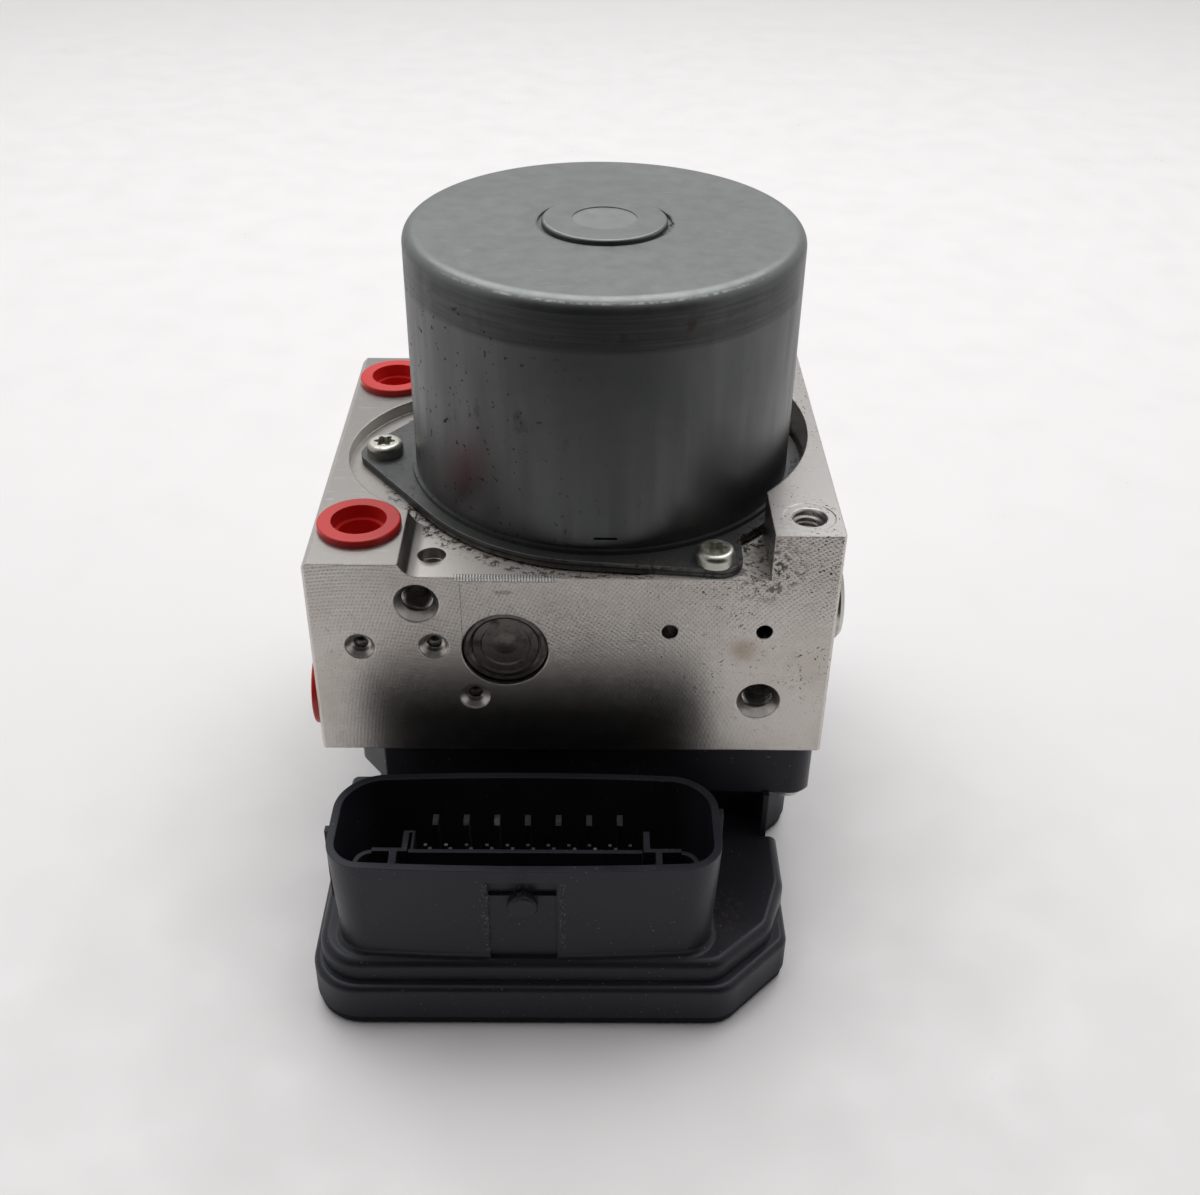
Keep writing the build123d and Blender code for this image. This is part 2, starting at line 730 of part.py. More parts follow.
def pump_element(side):
    """Radial piston in its sleeve, with return spring and end cap, along X."""
    z = block_bottom + journal_centre
    face = block_right if side > 0 else block_left
    reach = abs(face)
    outward = Pos(0, 0, z) * Rot(0, 90 * side, 0)
    tip = ring_radius + eccentricity + run_gap
    tail = tip + pump_piston_length
    sleeve_start = chamber_radius + 1.2
    middle = sleeve_start + pump_sleeve_length / 2
    piston = Pos(0, 0, (tip + tail) / 2) * Cylinder(pump_piston_radius, pump_piston_length)
    sleeve = Pos(0, 0, middle) * Cylinder(pump_bore_radius - fit_gap, pump_sleeve_length)
    sleeve -= Pos(0, 0, middle) * Cylinder(pump_piston_radius + run_gap, pump_sleeve_length + 2)
    spring = Pos(0, 0, tail) * coil_spring(3.2, pump_spring_seat - tail, 4, spring_wire)
    cap_profile = [
        (0, pump_spring_seat),
        (pump_bore_radius - fit_gap, pump_spring_seat),
        (pump_bore_radius - fit_gap, reach - pump_cap_depth),
        (pump_cap_radius - fit_gap, reach - pump_cap_depth),
        (pump_cap_radius - fit_gap, reach - 0.3),
        (pump_cap_radius - 1.6, reach - 0.3),
        (pump_cap_radius - 2.2, reach - 1.2),
        (0, reach - 1.2),
    ]
    cap = turned(cap_profile)
    return [outward * piece for piece in (piston, sleeve, spring, cap)]


def damper_cap(place):
    """Domed steel cap pressed over the damper bore on the right face."""
    y, z = place
    profile = [
        (0, -4.0),
        (damper_bore_radius - 1.5, -4.0),
        (damper_bore_radius - 0.02, -3.0),
        (damper_bore_radius - 0.02, 0),
        (damper_cap_radius, 0),
        (damper_cap_radius, damper_cap_rise - 0.8),
        (damper_cap_radius - 0.8, damper_cap_rise),
        (0, damper_cap_rise),
    ]
    return Pos(block_right, y, block_bottom + z) * Rot(0, 90, 0) * turned(profile)


def sealing_balls():
    balls = []
    for x, z in ball_holes:
        radius = ball_radius - 0.02
        seat = math.sqrt(radius ** 2 - ball_lip_radius ** 2)
        centre = Pos(x, block_front + ball_lip_depth + seat + 0.02, block_bottom + z)
        balls.append(centre * Sphere(radius))
    return group(balls)


def valve(x, y):
    """Valve cartridge: a foot pressed into the block and a thin dome below it."""
    base = block_bottom
    foot = rod(x, y, base - 2.0, base + valve_foot_depth, valve_radius)
    neck = rod(x, y, base + 4.0, base + 9.0, valve_radius + 1)
    foot -= neck - rod(x, y, base + 3.0, base + 10.0, valve_radius - 0.9)
    dome = rod(x, y, base - dome_length, base - 1.9, dome_radius)
    dome = fillet(dome.edges().group_by(Axis.Z)[0], dome_radius * 0.6)
    bore = rod(x, y, base - dome_length + dome_floor, base - 4.0, dome_radius - dome_wall)
    rod_end = base + valve_rod_reach + valve_stroke + valve_rest_gap
    bore += rod(x, y, base - 4.5, rod_end, valve_rod_radius + 2 * run_gap)
    return foot + dome - bore


def valve_armature(x, y):
    """Iron armature that lifts inside the dome, and the rod that closes the valve."""
    low = block_bottom - dome_length + dome_floor + valve_rest_gap
    body = rod(x, y, low, low + armature_pin_length, armature_pin_radius)
    body = chamfer(body.edges().group_by(Axis.Z)[0] + body.edges().group_by(Axis.Z)[-1], 0.4)
    return body + rod(x, y, low + 1, block_bottom + valve_rod_reach, valve_rod_radius)


def solenoid_coil(x, y):
    """Wound coil in its steel yoke, round one valve dome."""
    z0 = coil_floor
    z1 = z0 + coil_height
    body = rod(x, y, z0, z1, coil_radius)
    reach = 2 * coil_radius
    for side in (-1, 1):
        flat = y + side * (coil_radius - yoke_flat)
        low, high = sorted((flat, flat + side * reach))
        body -= block(x - reach, x + reach, low, high, z0 + yoke_cheek, z1 - yoke_cheek)
    return body - rod(x, y, z0 - 1, z1 + 1, dome_radius + free_gap)


# ---------------------------------------------------------------- control unit
def scallop():
    """Corners of the open corner under the block, where a fixing screw is reached."""
    edge = body_right - lip_reveal
    return [
        (scallop_left, lip_back),
        (scallop_left, scallop_back),
        (scallop_left + scallop_shelf, scallop_back),
        (edge - scallop_cant[0], scallop_back + scallop_cant[1]),
        (edge, scallop_back + scallop_sweep),
    ]


def lip_outline(inset):
    """Outline of the housing's wide lip, which carries the socket in front."""
    points = [
        (lip_left, lip_rear),
        (lip_left, lip_front),
        (lip_right - lip_chamfer, lip_front),
        (lip_right, lip_front + lip_chamfer),
        (lip_right, lip_back),
        *scallop(),
        (body_right - lip_reveal, body_back),
        (lip_rear_left, body_back),
        (lip_rear_left, lip_rear),
    ]
    face = outline(points, [3, 10, 7, 4, 1, 0.8, *scallop_radii, 4, 5, 1.2])
    return offset(face, amount=-inset) if inset else face


def front_plate(points, radii, z0, z1, rounding):
    """Plate in front of the block whose upper edge is rounded all along its free sides."""
    plate = prism(outline(points, radii), z0, z1)
    rear = max(y for x, y in points)
    edges = plate.edges().group_by(Axis.Z)[-1].filter_by(lambda e: e.center().Y < rear - 0.5)
    return fillet(edges, rounding)


def lip_plate():
    cut = lip_chamfer
    points = [(lip_left, lip_rear), (lip_left, lip_front), (lip_right - cut, lip_front),
              (lip_right, lip_front + cut), (lip_right, lip_rear)]
    return front_plate(points, [0, 10, 7, 4, 0], lid_thickness, lip_top, lip_rounding)


def deck_corners(rear):
    """Corners of the deck, which is set back all round from the lip below it."""
    left = lip_left + groove_inset
    front = lip_front + deck_setback
    return [(left, rear), (left, front), (deck_front_end, front), deck_bend,
            (lip_right, deck_flank_end), (lip_right, rear)]


def deck_plate():
    return front_plate(deck_corners(lip_rear), deck_radii, lip_top - 0.5, deck_level, deck_rounding)


def tower_outline(inset):
    """Outline of the housing under the block."""
    points = [
        (tower_left, tower_left_front),
        (scallop_left, tower_front),
        *scallop()[1:],
        (body_right - lip_reveal, body_back),
        (tower_left, body_back),
    ]
    face = outline(points, [5, 0.8, *scallop_radii, 4, 4])
    return offset(face, amount=-inset) if inset else face


def collar_outline():
    """Outline of the thick collar that bolts up against the block."""
    points = [
        (body_left, collar_left_front),
        collar_corner,
        (body_right, collar_front),
        (body_right, body_back),
        (body_left, body_back),
    ]
    return outline(points, [3, 0.6, 4.2, 5, 5])


def socket_outline(inset):
    """Plug socket outline with slightly bowed long sides."""
    left = socket_left + inset
    right = socket_right - inset
    front = socket_front + inset
    back = socket_back - inset
    middle = (left + right) / 2
    front_corner = socket_front_corner - inset
    back_corner = socket_back_corner - inset
    turn = math.sqrt(0.5)
    edges = [
        ThreePointArc((left + front_corner, front), (middle, front - socket_bulge),
                      (right - front_corner, front)),
        ThreePointArc((right - front_corner, front),
                      (right - front_corner * (1 - turn), front + front_corner * (1 - turn)),
                      (right, front + front_corner)),
        Line((right, front + front_corner), (right, back - back_corner)),
        ThreePointArc((right, back - back_corner),
                      (right - back_corner * (1 - turn), back - back_corner * (1 - turn)),
                      (right - back_corner, back)),
        ThreePointArc((right - back_corner, back), (middle, back + socket_bulge),
                      (left + back_corner, back)),
        ThreePointArc((left + back_corner, back),
                      (left + back_corner * (1 - turn), back - back_corner * (1 - turn)),
                      (left, back - back_corner)),
        Line((left, back - back_corner), (left, front + front_corner)),
        ThreePointArc((left, front + front_corner),
                      (left + front_corner * (1 - turn), front + front_corner * (1 - turn)),
                      (left + front_corner, front)),
    ]
    return make_face(edges)


def drafted_socket(inset, low, height):
    """The socket's outline, set in by a wall and raised with its draft."""
    draft = math.degrees(math.atan(socket_draft / socket_height))
    return Pos(0, 0, low) * extrude(socket_outline(inset), height, taper=-draft)


def socket_shell():
    """Outside of the plug socket, and the hollow inside its wall."""
    outer = drafted_socket(0, deck_level - 0.5, socket_height + 0.5)
    inner = drafted_socket(socket_wall, deck_level + socket_floor, socket_height)
    return outer, inner


def socket_inserts():
    """Partition inside the socket, with its guide ribs and its two bent ends."""
    top = block_bottom - partition_drop
    low = deck_level + socket_floor - 0.5
    y = partition_place
    back = y + partition_step
    half = partition_thickness / 2
    left, right = partition_ends
    joint_left, joint_right = partition_joints
    pieces = block(joint_left + partition_gap, joint_right - partition_gap, y - half, y + half, low, top)
    pieces += block(left, joint_left, back - half, back + half, low, top)
    pieces += block(joint_right, right, back - half, back + half, low, top)
    for x, width, length in guide_ribs:
        pieces += block(x - width / 2, x + width / 2, y, y + length, low, top)
    joint = guide_ribs[0][0]
    rear = y + guide_ribs[0][2]
    pieces += block(joint, guide_ribs[1][0], rear - 0.5, rear, low, top)
    for x, width in front_ribs:
        pieces += block(x - width / 2, x + width / 2, socket_front, back, low, top)
    for x, side in ((left, -1), (right, 1)):
        centre = back - end_bend
        bend = Circle(end_bend + half) - Circle(end_bend - half)
        bend &= Pos(side * end_bend, end_bend) * Rectangle(2 * end_bend, 2 * end_bend)
        pieces += Pos(x, centre, 0) * prism(bend, low, top - end_drop)
        end = x + side * end_bend
        pieces += block(end - half, end + half, socket_front, centre, low, top - end_drop)
    return pieces


def socket_core(depth):
    """The socket's drafted outside, sunk by a depth."""
    return drafted_socket(depth, deck_level - 0.5, socket_height + 1)


def latch_cuts():
    """Recess, window and ramp in the front wall, for the mating plug's latch."""
    front = socket_front - socket_bulge - socket_draft
    top = block_bottom - latch_drop
    x0 = latch_centre - latch_width / 2
    x1 = latch_centre + latch_width / 2
    recess = block(x0, x1, front - 2, socket_front + 1, deck_level, top)
    window = block(x0, x1, front - 2, socket_front + 1, top - latch_window, top)
    half = latch_ramp / 2
    edge = block_bottom - latch_ramp_drop
    slope = make_face(Plane.YZ * Polyline(
        (front - 2, edge), (front, edge), (front + latch_depth, top - 0.1), (front - 2, top - 0.1),
        close=True))
    ramp = Pos(latch_centre - half, 0, 0) * extrude(slope, latch_ramp)
    return recess - socket_core(latch_recess) + (window - socket_core(latch_depth)) + ramp


def latch_nub():
    """Round catch that stands out of the latch window."""
    z = block_bottom - nub_drop
    back = socket_front + 0.4
    nub = rod_y(latch_centre, z, back, socket_front - socket_bulge - socket_draft - nub_rise, nub_radius)
    return fillet(nub.edges().group_by(Axis.Y)[0], 0.6)


def side_ribs():
    """Guide ribs on the socket's two ends."""
    top = block_bottom - 1.0
    low = deck_level + 6.0
    left = block(socket_left - 2.0, socket_left + 0.6, -67.2, -65.6, low, top)
    right = block(socket_right - 0.6, socket_right + 2.0, -62.0, -60.4, low, top)
    return left + right


def socket_on_deck(outer):
    """Deck with the socket standing on it in a small fillet."""
    shell = deck_plate() + outer
    foot = shell.edges().filter_by(lambda e: abs(e.center().Z - deck_level) < 0.01)
    foot = foot.filter_by(lambda e: socket_front - 1.2 < e.center().Y < socket_back + 1.2)
    foot = foot.filter_by(lambda e: socket_left - 0.5 < e.center().X < socket_right + 0.5)
    return fillet(foot, socket_foot)


def ecu_housing():
    outer, inner = socket_shell()
    housing = lip_plate() + socket_on_deck(outer)
    low = block_bottom - flange_height
    housing += prism(tower_outline(0), lid_thickness, low + 0.5)
    fin = make_face(Polyline((fin_foot, tower_front + 1), (fin_nose, lip_back), (scallop_left, lip_back),
                             (scallop_left, tower_front + 1), close=True))
    housing += prism(fin, lid_thickness, low + 0.5)
    outside = body_right + collar_radius
    gap = make_face(Polyline(*scallop(), (outside, scallop_back + scallop_sweep),
                             (outside, lip_back), close=True))
    housing -= prism(gap, 0, low)
    collar = prism(collar_outline(), low, block_bottom)
    housing += fillet(collar.edges().group_by(Axis.Z)[0], 0.8)
    housing += side_ribs()
    # room for the board below, and for the coils above it
    board_room = prism(lip_outline(wall), lid_thickness - 1, lip_top - lip_ledge)
    deck_face = offset(outline(deck_corners(body_back), deck_radii), amount=-wall)
    deck_room = prism(lip_outline(wall), lip_top - lip_ledge - 0.5, coil_floor - deck_thickness)
    deck_room &= prism(deck_face, 0, coil_floor)
    coil_room = prism(tower_outline(wall + 0.6), coil_floor, block_bottom + 1)
    housing -= board_room
    housing -= deck_room
    housing -= coil_room
    housing -= inner
    pad = latch_width / 2 + 1
    pad_top = block_bottom - latch_drop + 1
    back = socket_front - socket_bulge + socket_wall
    housing += block(latch_centre - pad, latch_centre + pad, back - socket_draft, back + latch_pad,
                     pad_top - latch_window - 2, pad_top) & socket_core(latch_depth)
    housing += socket_inserts() & outer
    housing -= latch_cuts()
    housing += latch_nub()
    tube = ecu_screw_head + screw_tube_gap
    pillar = rod(*open_screw, low, block_bottom, tube + screw_tube_wall)
    housing += pillar & prism(collar_outline(), low, block_bottom)
    for x, y in tube_screws:
        housing += rod(x, y, lid_thickness, block_bottom, tube + screw_tube_wall)
        housing -= rod(x, y, lid_thickness - 1, low, tube)
    for x, y in ecu_screw_places:
        housing -= rod(x, y, low - 1, block_bottom + 1, ecu_screw_radius + screw_clearance)
    housing -= rod(*lead_hole, coil_floor - 5, coil_floor + 1, lead_hole_radius)
    return housing


def ecu_lid():
    plate = prism(lip_outline(lid_inset), 0, lid_thickness)
    plate = chamfer(plate.edges().group_by(Axis.Z)[0], 0.6)
    rib = prism(lip_outline(wall + 0.3), lid_thickness - 0.2, lid_thickness + lid_rib)
    rib -= prism(lip_outline(wall + 1.8), lid_thickness - 1, lid_thickness + lid_rib + 1)
    lid = plate + rib
    tube = ecu_screw_head + screw_tube_gap
    for x, y in tube_screws:
        lid -= rod(x, y, -1, lid_thickness, tube)
        lid -= rod(x, y, lid_thickness, lid_thickness + lid_rib + 1, tube + screw_tube_wall + 0.2)
    return lid


def circuit_board():
    board = prism(lip_outline(wall + 0.4), board_top - board_thickness, board_top)
    for x, y in tube_screws:
        clear = ecu_screw_head + screw_tube_gap + screw_tube_wall + 0.4
        board -= rod(x, y, board_top - 5, board_top + 1, clear)
    return board


def pins():
    """Blade and square pins, from the board up through the socket's floor."""
    foot = board_top
    width, depth = power_pin_size
    power = []
    for index in range(power_pin_count):
        x = power_pin_first + index * power_pin_pitch
        pin = block(x - width / 2, x + width / 2, power_pin_row - depth / 2,
                    power_pin_row + depth / 2, foot, block_bottom - power_pin_drop)
        ends = pin.edges().group_by(Axis.Z)[-1].filter_by(Axis.X)
        power.append(chamfer(ends, power_pin_chamfer))
    width, depth = signal_pin_size
    signal = []
    for first, row, count, drop in signal_rows:
        for index in range(count):
            x = first + index * signal_pin_pitch
            signal.append(block(x - width / 2, x + width / 2, row - depth / 2, row + depth / 2,
                                foot, block_bottom - drop))
    return power, signal


def ecu_seal():
    """Rubber ring in a groove of the collar's top face, all round the coils."""
    face = tower_outline(seal_inset) - tower_outline(seal_inset + seal_width)
    return prism(face, block_bottom - seal_depth, block_bottom)


def ecu_screw(x, y):
    """Socket screw put in from below, through the collar into the block."""
    seat = block_bottom - flange_height
    head = rod(x, y, seat - ecu_screw_head_height, seat, ecu_screw_head)
    head = fillet(head.edges().group_by(Axis.Z)[0], 1.2)
    head -= Pos(x, y, seat - ecu_screw_head_height) * Rot(180, 0, 0) * lobe_socket(lobe_socket_depth)
    return head + rod(x, y, seat - 0.1, block_bottom + ecu_screw_thread, ecu_screw_radius - 0.05)


# ---------------------------------------------------------------- build
os.makedirs("parts", exist_ok=True)

save("valve_block", valve_block())
save("motor_flange", motor_flange())
save("motor_can", motor_can())
save("motor_screws", group([pan_screw(x, y, plate_top, screw_length) for x, y in motor_screw_places]))

front_z = motor_foot - bearing_width - 1
for name, level in (("rear_bearing", cup_bottom), ("front_bearing", front_z)):
    outer_race, inner_race = ball_bearing(level)
    save(name, outer_race)
    save(name + "_inner_race", inner_race)

save("motor_shaft", motor_shaft(cup_bottom + bearing_width - 0.5))
ring_low = block_bottom + journal_centre - ring_width / 2
eccentric_ring = rod(0, eccentricity, ring_low, ring_low + ring_width, ring_radius)
eccentric_ring -= rod(0, eccentricity, ring_low - 1, ring_low + ring_width + 1, journal_radius)
save("eccentric_ring", eccentric_ring)
core = armature_core()
save("armature_core", core)
save("armature_windings", windings() - core)
save("commutator", commutator())
save("magnet_right", magnet(1))
save("magnet_left", magnet(-1))
save("brush_holder", brush_holder())
save("brush_right", brush(1))
save("brush_left", brush(-1))
save("motor_leads", motor_leads())

plug = port_plug()
land = block_bottom + left_land
for name, (x, y) in zip(("top_port_plug_front", "top_port_plug_rear"), top_ports):
    save(name, Pos(x, y, land) * plug)
for index, y in enumerate(side_port_places):
    place = Pos(block_left, y, block_bottom + side_port_height) * Rot(0, -90, 0)
    save(f"side_port_plug_{index + 1}", place * plug)

for name, side in (("front", -1), ("rear", 1)):
    piston, spring, cap = accumulator(side)
    save(f"accumulator_piston_{name}", piston)
    save(f"accumulator_spring_{name}", spring)
    save(f"accumulator_cap_{name}", cap)

for name, side in (("right", 1), ("left", -1)):
    piston, sleeve, spring, cap = pump_element(side)
    save(f"pump_piston_{name}", piston)
    save(f"pump_sleeve_{name}", sleeve)
    save(f"pump_spring_{name}", spring)
    save(f"pump_cap_{name}", cap)

save("damper_caps", group([damper_cap(place) for place in damper_places]))
save("sealing_balls", sealing_balls())

for kind, row in valve_rows.items():
    save(f"{kind}_valves", group([valve(x, row) for x in valve_columns]))
    save(f"{kind}_coils", group([solenoid_coil(x, row) for x in valve_columns]))
    for index, x in enumerate(valve_columns):
        save(f"{kind}_armature_{index + 1}", valve_armature(x, row))

power_pins, signal_pins = pins()
seal = ecu_seal()
housing = ecu_housing() - seal
for pin in power_pins + signal_pins:
    housing -= pin
save("ecu_housing", housing)
save("ecu_lid", ecu_lid())
save("ecu_seal", seal)
save("circuit_board", circuit_board())
save("power_pins", group(power_pins))
save("signal_pins", group(signal_pins))
save("ecu_screws", group([ecu_screw(x, y) for x, y in ecu_screw_places]))
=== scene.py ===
import math

import bmesh
import bpy
from mathutils import Matrix, Vector


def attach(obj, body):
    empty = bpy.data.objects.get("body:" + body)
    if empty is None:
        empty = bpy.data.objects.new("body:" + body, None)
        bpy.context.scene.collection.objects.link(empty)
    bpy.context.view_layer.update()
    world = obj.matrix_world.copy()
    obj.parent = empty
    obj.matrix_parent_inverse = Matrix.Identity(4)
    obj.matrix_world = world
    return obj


# ABS brake module. Metres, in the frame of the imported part: X right, Y back,
# Z up, origin on the motor's axis at the underside of the control unit.

MM = 0.001

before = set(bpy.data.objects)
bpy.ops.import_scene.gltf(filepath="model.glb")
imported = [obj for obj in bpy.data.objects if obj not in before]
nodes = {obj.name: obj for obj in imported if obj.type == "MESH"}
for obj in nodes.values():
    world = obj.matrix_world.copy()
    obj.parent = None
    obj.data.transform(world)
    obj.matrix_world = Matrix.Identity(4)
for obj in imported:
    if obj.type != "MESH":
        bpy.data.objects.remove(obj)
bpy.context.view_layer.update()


# ---------------------------------------------------------------- places on the module
BLOCK_FRONT = -0.0441           # Y just behind the valve block's front face
POCKET_FLOOR = 0.0808           # Z of the floor round the motor's flange
CAN_TOP = 0.1320                # Z in the can's rounded edge, just below its flat top
CAN_RING = (0.1225, 0.1308)     # Z of the ring pressed below the can's edge
FLANGE_RIM = 0.0415             # radius just inside the flange plate's round rim
PLATE_TOP = 0.0824              # Z just below the flange plate's upper face
LATCH_ACROSS = -0.0144          # X of the latch's middle
SOCKET_FRONT = -0.0745          # Y just behind the plug socket's front wall


# ---------------------------------------------------------------- camera
FRAME_WIDTH = 1200
FOCAL_PIXELS = 1416.9
SENSOR = 36.0


def add_camera():
    """Camera above the plug socket, looking down at the front."""
    place = Vector((-3.34, -261.98, 226.38)) * MM
    pitch = math.radians(34.531)
    yaw = math.radians(-0.767)
    roll = math.radians(0.837)
    right = Vector((1, 0, 0))
    forward = Vector((0, math.cos(pitch), -math.sin(pitch)))
    up = Vector((0, math.sin(pitch), math.cos(pitch)))
    turn = Matrix.Rotation(yaw, 3, "Z")
    right, forward, up = turn @ right, turn @ forward, turn @ up
    level = math.cos(roll) * right + math.sin(roll) * up
    upright = -math.sin(roll) * right + math.cos(roll) * up
    axes = Matrix((level, upright, -forward)).transposed()
    data = bpy.data.cameras.new("camera")
    data.sensor_fit = "HORIZONTAL"
    data.sensor_width = SENSOR
    data.lens = SENSOR * FOCAL_PIXELS / FRAME_WIDTH
    data.clip_start = 0.01
    camera = bpy.data.objects.new("camera", data)
    camera.matrix_world = Matrix.Translation(place) @ axes.to_4x4()
    bpy.context.collection.objects.link(camera)
    bpy.context.scene.camera = camera


# ---------------------------------------------------------------- node helpers
def feed(tree, node, values):
    """Sets a node's inputs; a value that is a socket is linked."""
    for key, value in values.items():
        if isinstance(value, bpy.types.NodeSocket):
            tree.links.new(value, node.inputs[key])
        else:
            node.inputs[key].default_value = value


def add_node(tree, kind, values=None, **settings):
    """New shader node with its settings and input values."""
    node = tree.nodes.new(kind)
    for key, value in settings.items():
        setattr(node, key, value)
    feed(tree, node, values or {})
    return node


def new_material(name, colour, metallic, roughness, **sockets):
    """Material with a Principled shader, and its tree and shader."""
    material = bpy.data.materials.new(name)
    material.use_nodes = True
    tree = material.node_tree
    shader = tree.nodes["Principled BSDF"]
    feed(tree, shader, {"Base Color": (*colour, 1), "Metallic": metallic, "Roughness": roughness})
    feed(tree, shader, {key.replace("_", " "): value for key, value in sockets.items()})
    return material, tree, shader


def object_place(tree, shift=(0, 0, 0), turn=(0, 0, 0), stretch=(1, 1, 1)):
    """Object coordinates, moved, turned and stretched."""
    source = add_node(tree, "ShaderNodeTexCoord")
    mapping = add_node(tree, "ShaderNodeMapping", {
        "Vector": source.outputs["Object"], "Location": shift, "Rotation": turn, "Scale": stretch})
    return mapping.outputs["Vector"]


def noise(tree, place, grain, detail=4.0, roughness=0.55, distortion=0.0):
    """Noise whose lumps are about grain metres across."""
    node = add_node(tree, "ShaderNodeTexNoise", {
        "Vector": place, "Scale": 1.0 / grain, "Detail": detail, "Roughness": roughness,
        "Distortion": distortion})
    return node.outputs["Fac"]


def ramp(tree, value, low, high, low_out=0.0, high_out=1.0):
    """Value led smoothly from low..high to low_out..high_out and held beyond."""
    values = {"Value": value, "From Min": low, "From Max": high,
              "To Min": low_out, "To Max": high_out}
    node = add_node(tree, "ShaderNodeMapRange", values, interpolation_type="SMOOTHSTEP")
    return node.outputs["Result"]


def combine(tree, operation, first, second):
    """Result of one arithmetic operation on two values."""
    node = add_node(tree, "ShaderNodeMath", {0: first, 1: second}, operation=operation)
    return node.outputs["Value"]


def blend_colour(tree, amount, first, second):
    """Colour that goes from first to second as amount goes from 0 to 1."""
    factor, colour_a, colour_b, result = 0, 6, 7, 2     # the node's sockets for colours
    node = add_node(tree, "ShaderNodeMix", {factor: amount}, data_type="RGBA")
    for socket, colour in ((colour_a, first), (colour_b, second)):
        plain = not isinstance(colour, bpy.types.NodeSocket)
        feed(tree, node, {socket: (*colour, 1) if plain else colour})
    return node.outputs[result]


def bump(tree, shader, heights, normal=None):
    """Chain of bumps, each (height socket, strength, depth in metres)."""
    for height, strength, depth in heights:
        values = {"Height": height, "Strength": strength, "Distance": depth}
        if normal:
            values["Normal"] = normal
        normal = add_node(tree, "ShaderNodeBump", values).outputs["Normal"]
    tree.links.new(normal, shader.inputs["Normal"])


def axis_value(tree, place, axis):
    """One of the X, Y and Z values of a place."""
    return add_node(tree, "ShaderNodeSeparateXYZ", {"Vector": place}).outputs[axis]


def multiply(tree, first, *others):
    """Product of several masks."""
    result = first
    for other in others:
        result = combine(tree, "MULTIPLY", result, other)
    return result


def band(tree, value, low, high, edge):
    """1 where value lies between low and high, falling to 0 over the edge's width."""
    rise = ramp(tree, value, low, low + edge)
    return multiply(tree, rise, ramp(tree, value, high - edge, high, 1.0, 0.0))


def axis_distance(tree, place):
    """Distance from the motor's axis."""
    flat = add_node(tree, "ShaderNodeVectorMath", {0: place, 1: (1, 1, 0)}, operation="MULTIPLY")
    length = add_node(tree, "ShaderNodeVectorMath", {0: flat.outputs["Vector"]}, operation="LENGTH")
    return length.outputs["Value"]


def spot(tree, place, centre, near, far):
    """1 within near of the centre, 0 beyond far."""
    gap = add_node(tree, "ShaderNodeVectorMath", {0: place, 1: centre}, operation="DISTANCE")
    return ramp(tree, gap.outputs["Value"], near, far, 1.0, 0.0)


def edge_wear(tree, radius):
    """1 on sharp edges, within about the radius, and the normal rounded there."""
    soft = add_node(tree, "ShaderNodeBevel", {"Radius": radius}, samples=4).outputs["Normal"]
    sharp = add_node(tree, "ShaderNodeNewGeometry").outputs["Normal"]
    dot = add_node(tree, "ShaderNodeVectorMath", {0: soft, 1: sharp}, operation="DOT_PRODUCT")
    return ramp(tree, dot.outputs["Value"], 0.995, 0.90, 0.0, 1.0), soft


# ---------------------------------------------------------------- finishes
def milled_arcs(tree):
    """Two sets of fine round cutter marks that cross, each about its own centre."""
    arcs = []
    for centre in ((0.045, 0.0, -0.01), (-0.075, 0.0, -0.03)):
        rings = add_node(tree, "ShaderNodeTexWave", {
            "Vector": object_place(tree, shift=centre), "Scale": 480.0, "Distortion": 0.5,
            "Detail": 1.0, "Detail Scale": 2.0}, wave_type="RINGS", rings_direction="SPHERICAL")
        arcs.append(rings.outputs["Fac"])
    return multiply(tree, *arcs)


def casting_pores(tree, place, across, height):
    """Small and large open pores in patches, most of them at the upper right."""
    patches = ramp(tree, noise(tree, place, grain=0.010, detail=3.0, roughness=0.6), 0.42, 0.58)
    rightward = ramp(tree, across, -0.010, 0.034, low_out=0.18)
    upward = ramp(tree, height, 0.044, 0.066, low_out=0.20)
    small = ramp(tree, noise(tree, place, grain=0.0005, detail=2.0, roughness=0.5), 0.635, 0.685)
    large = ramp(tree, noise(tree, place, grain=0.0014, detail=3.0, roughness=0.6), 0.70, 0.73)
    return multiply(tree, combine(tree, "MAXIMUM", small, large), patches,
                    multiply(tree, rightward, upward))


def pocket_grime(tree, place, floor_level, lying):
    """Grime round the motor's flange, in the pocket's right corner and in the small hole."""
    ring = band(tree, axis_distance(tree, place), 0.0390, 0.0462, edge=0.0015)
    crept = ramp(tree, noise(tree, place, grain=0.0014, detail=5.0, roughness=0.7), 0.50, 0.60)
    rust = ramp(tree, noise(tree, place, grain=0.0012, detail=5.0, roughness=0.7), 0.48, 0.60)
    corner = spot(tree, place, (0.0305, -0.041, 0.083), near=0.003, far=0.010)
    hole = spot(tree, place, (-0.0322, -0.0385, 0.0786), near=0.0022, far=0.0034)
    grime = multiply(tree, floor_level, lying, ring, crept)
    grime = combine(tree, "MAXIMUM", grime, multiply(tree, corner, rust))
    return combine(tree, "MAXIMUM", grime, multiply(tree, hole, 0.8))


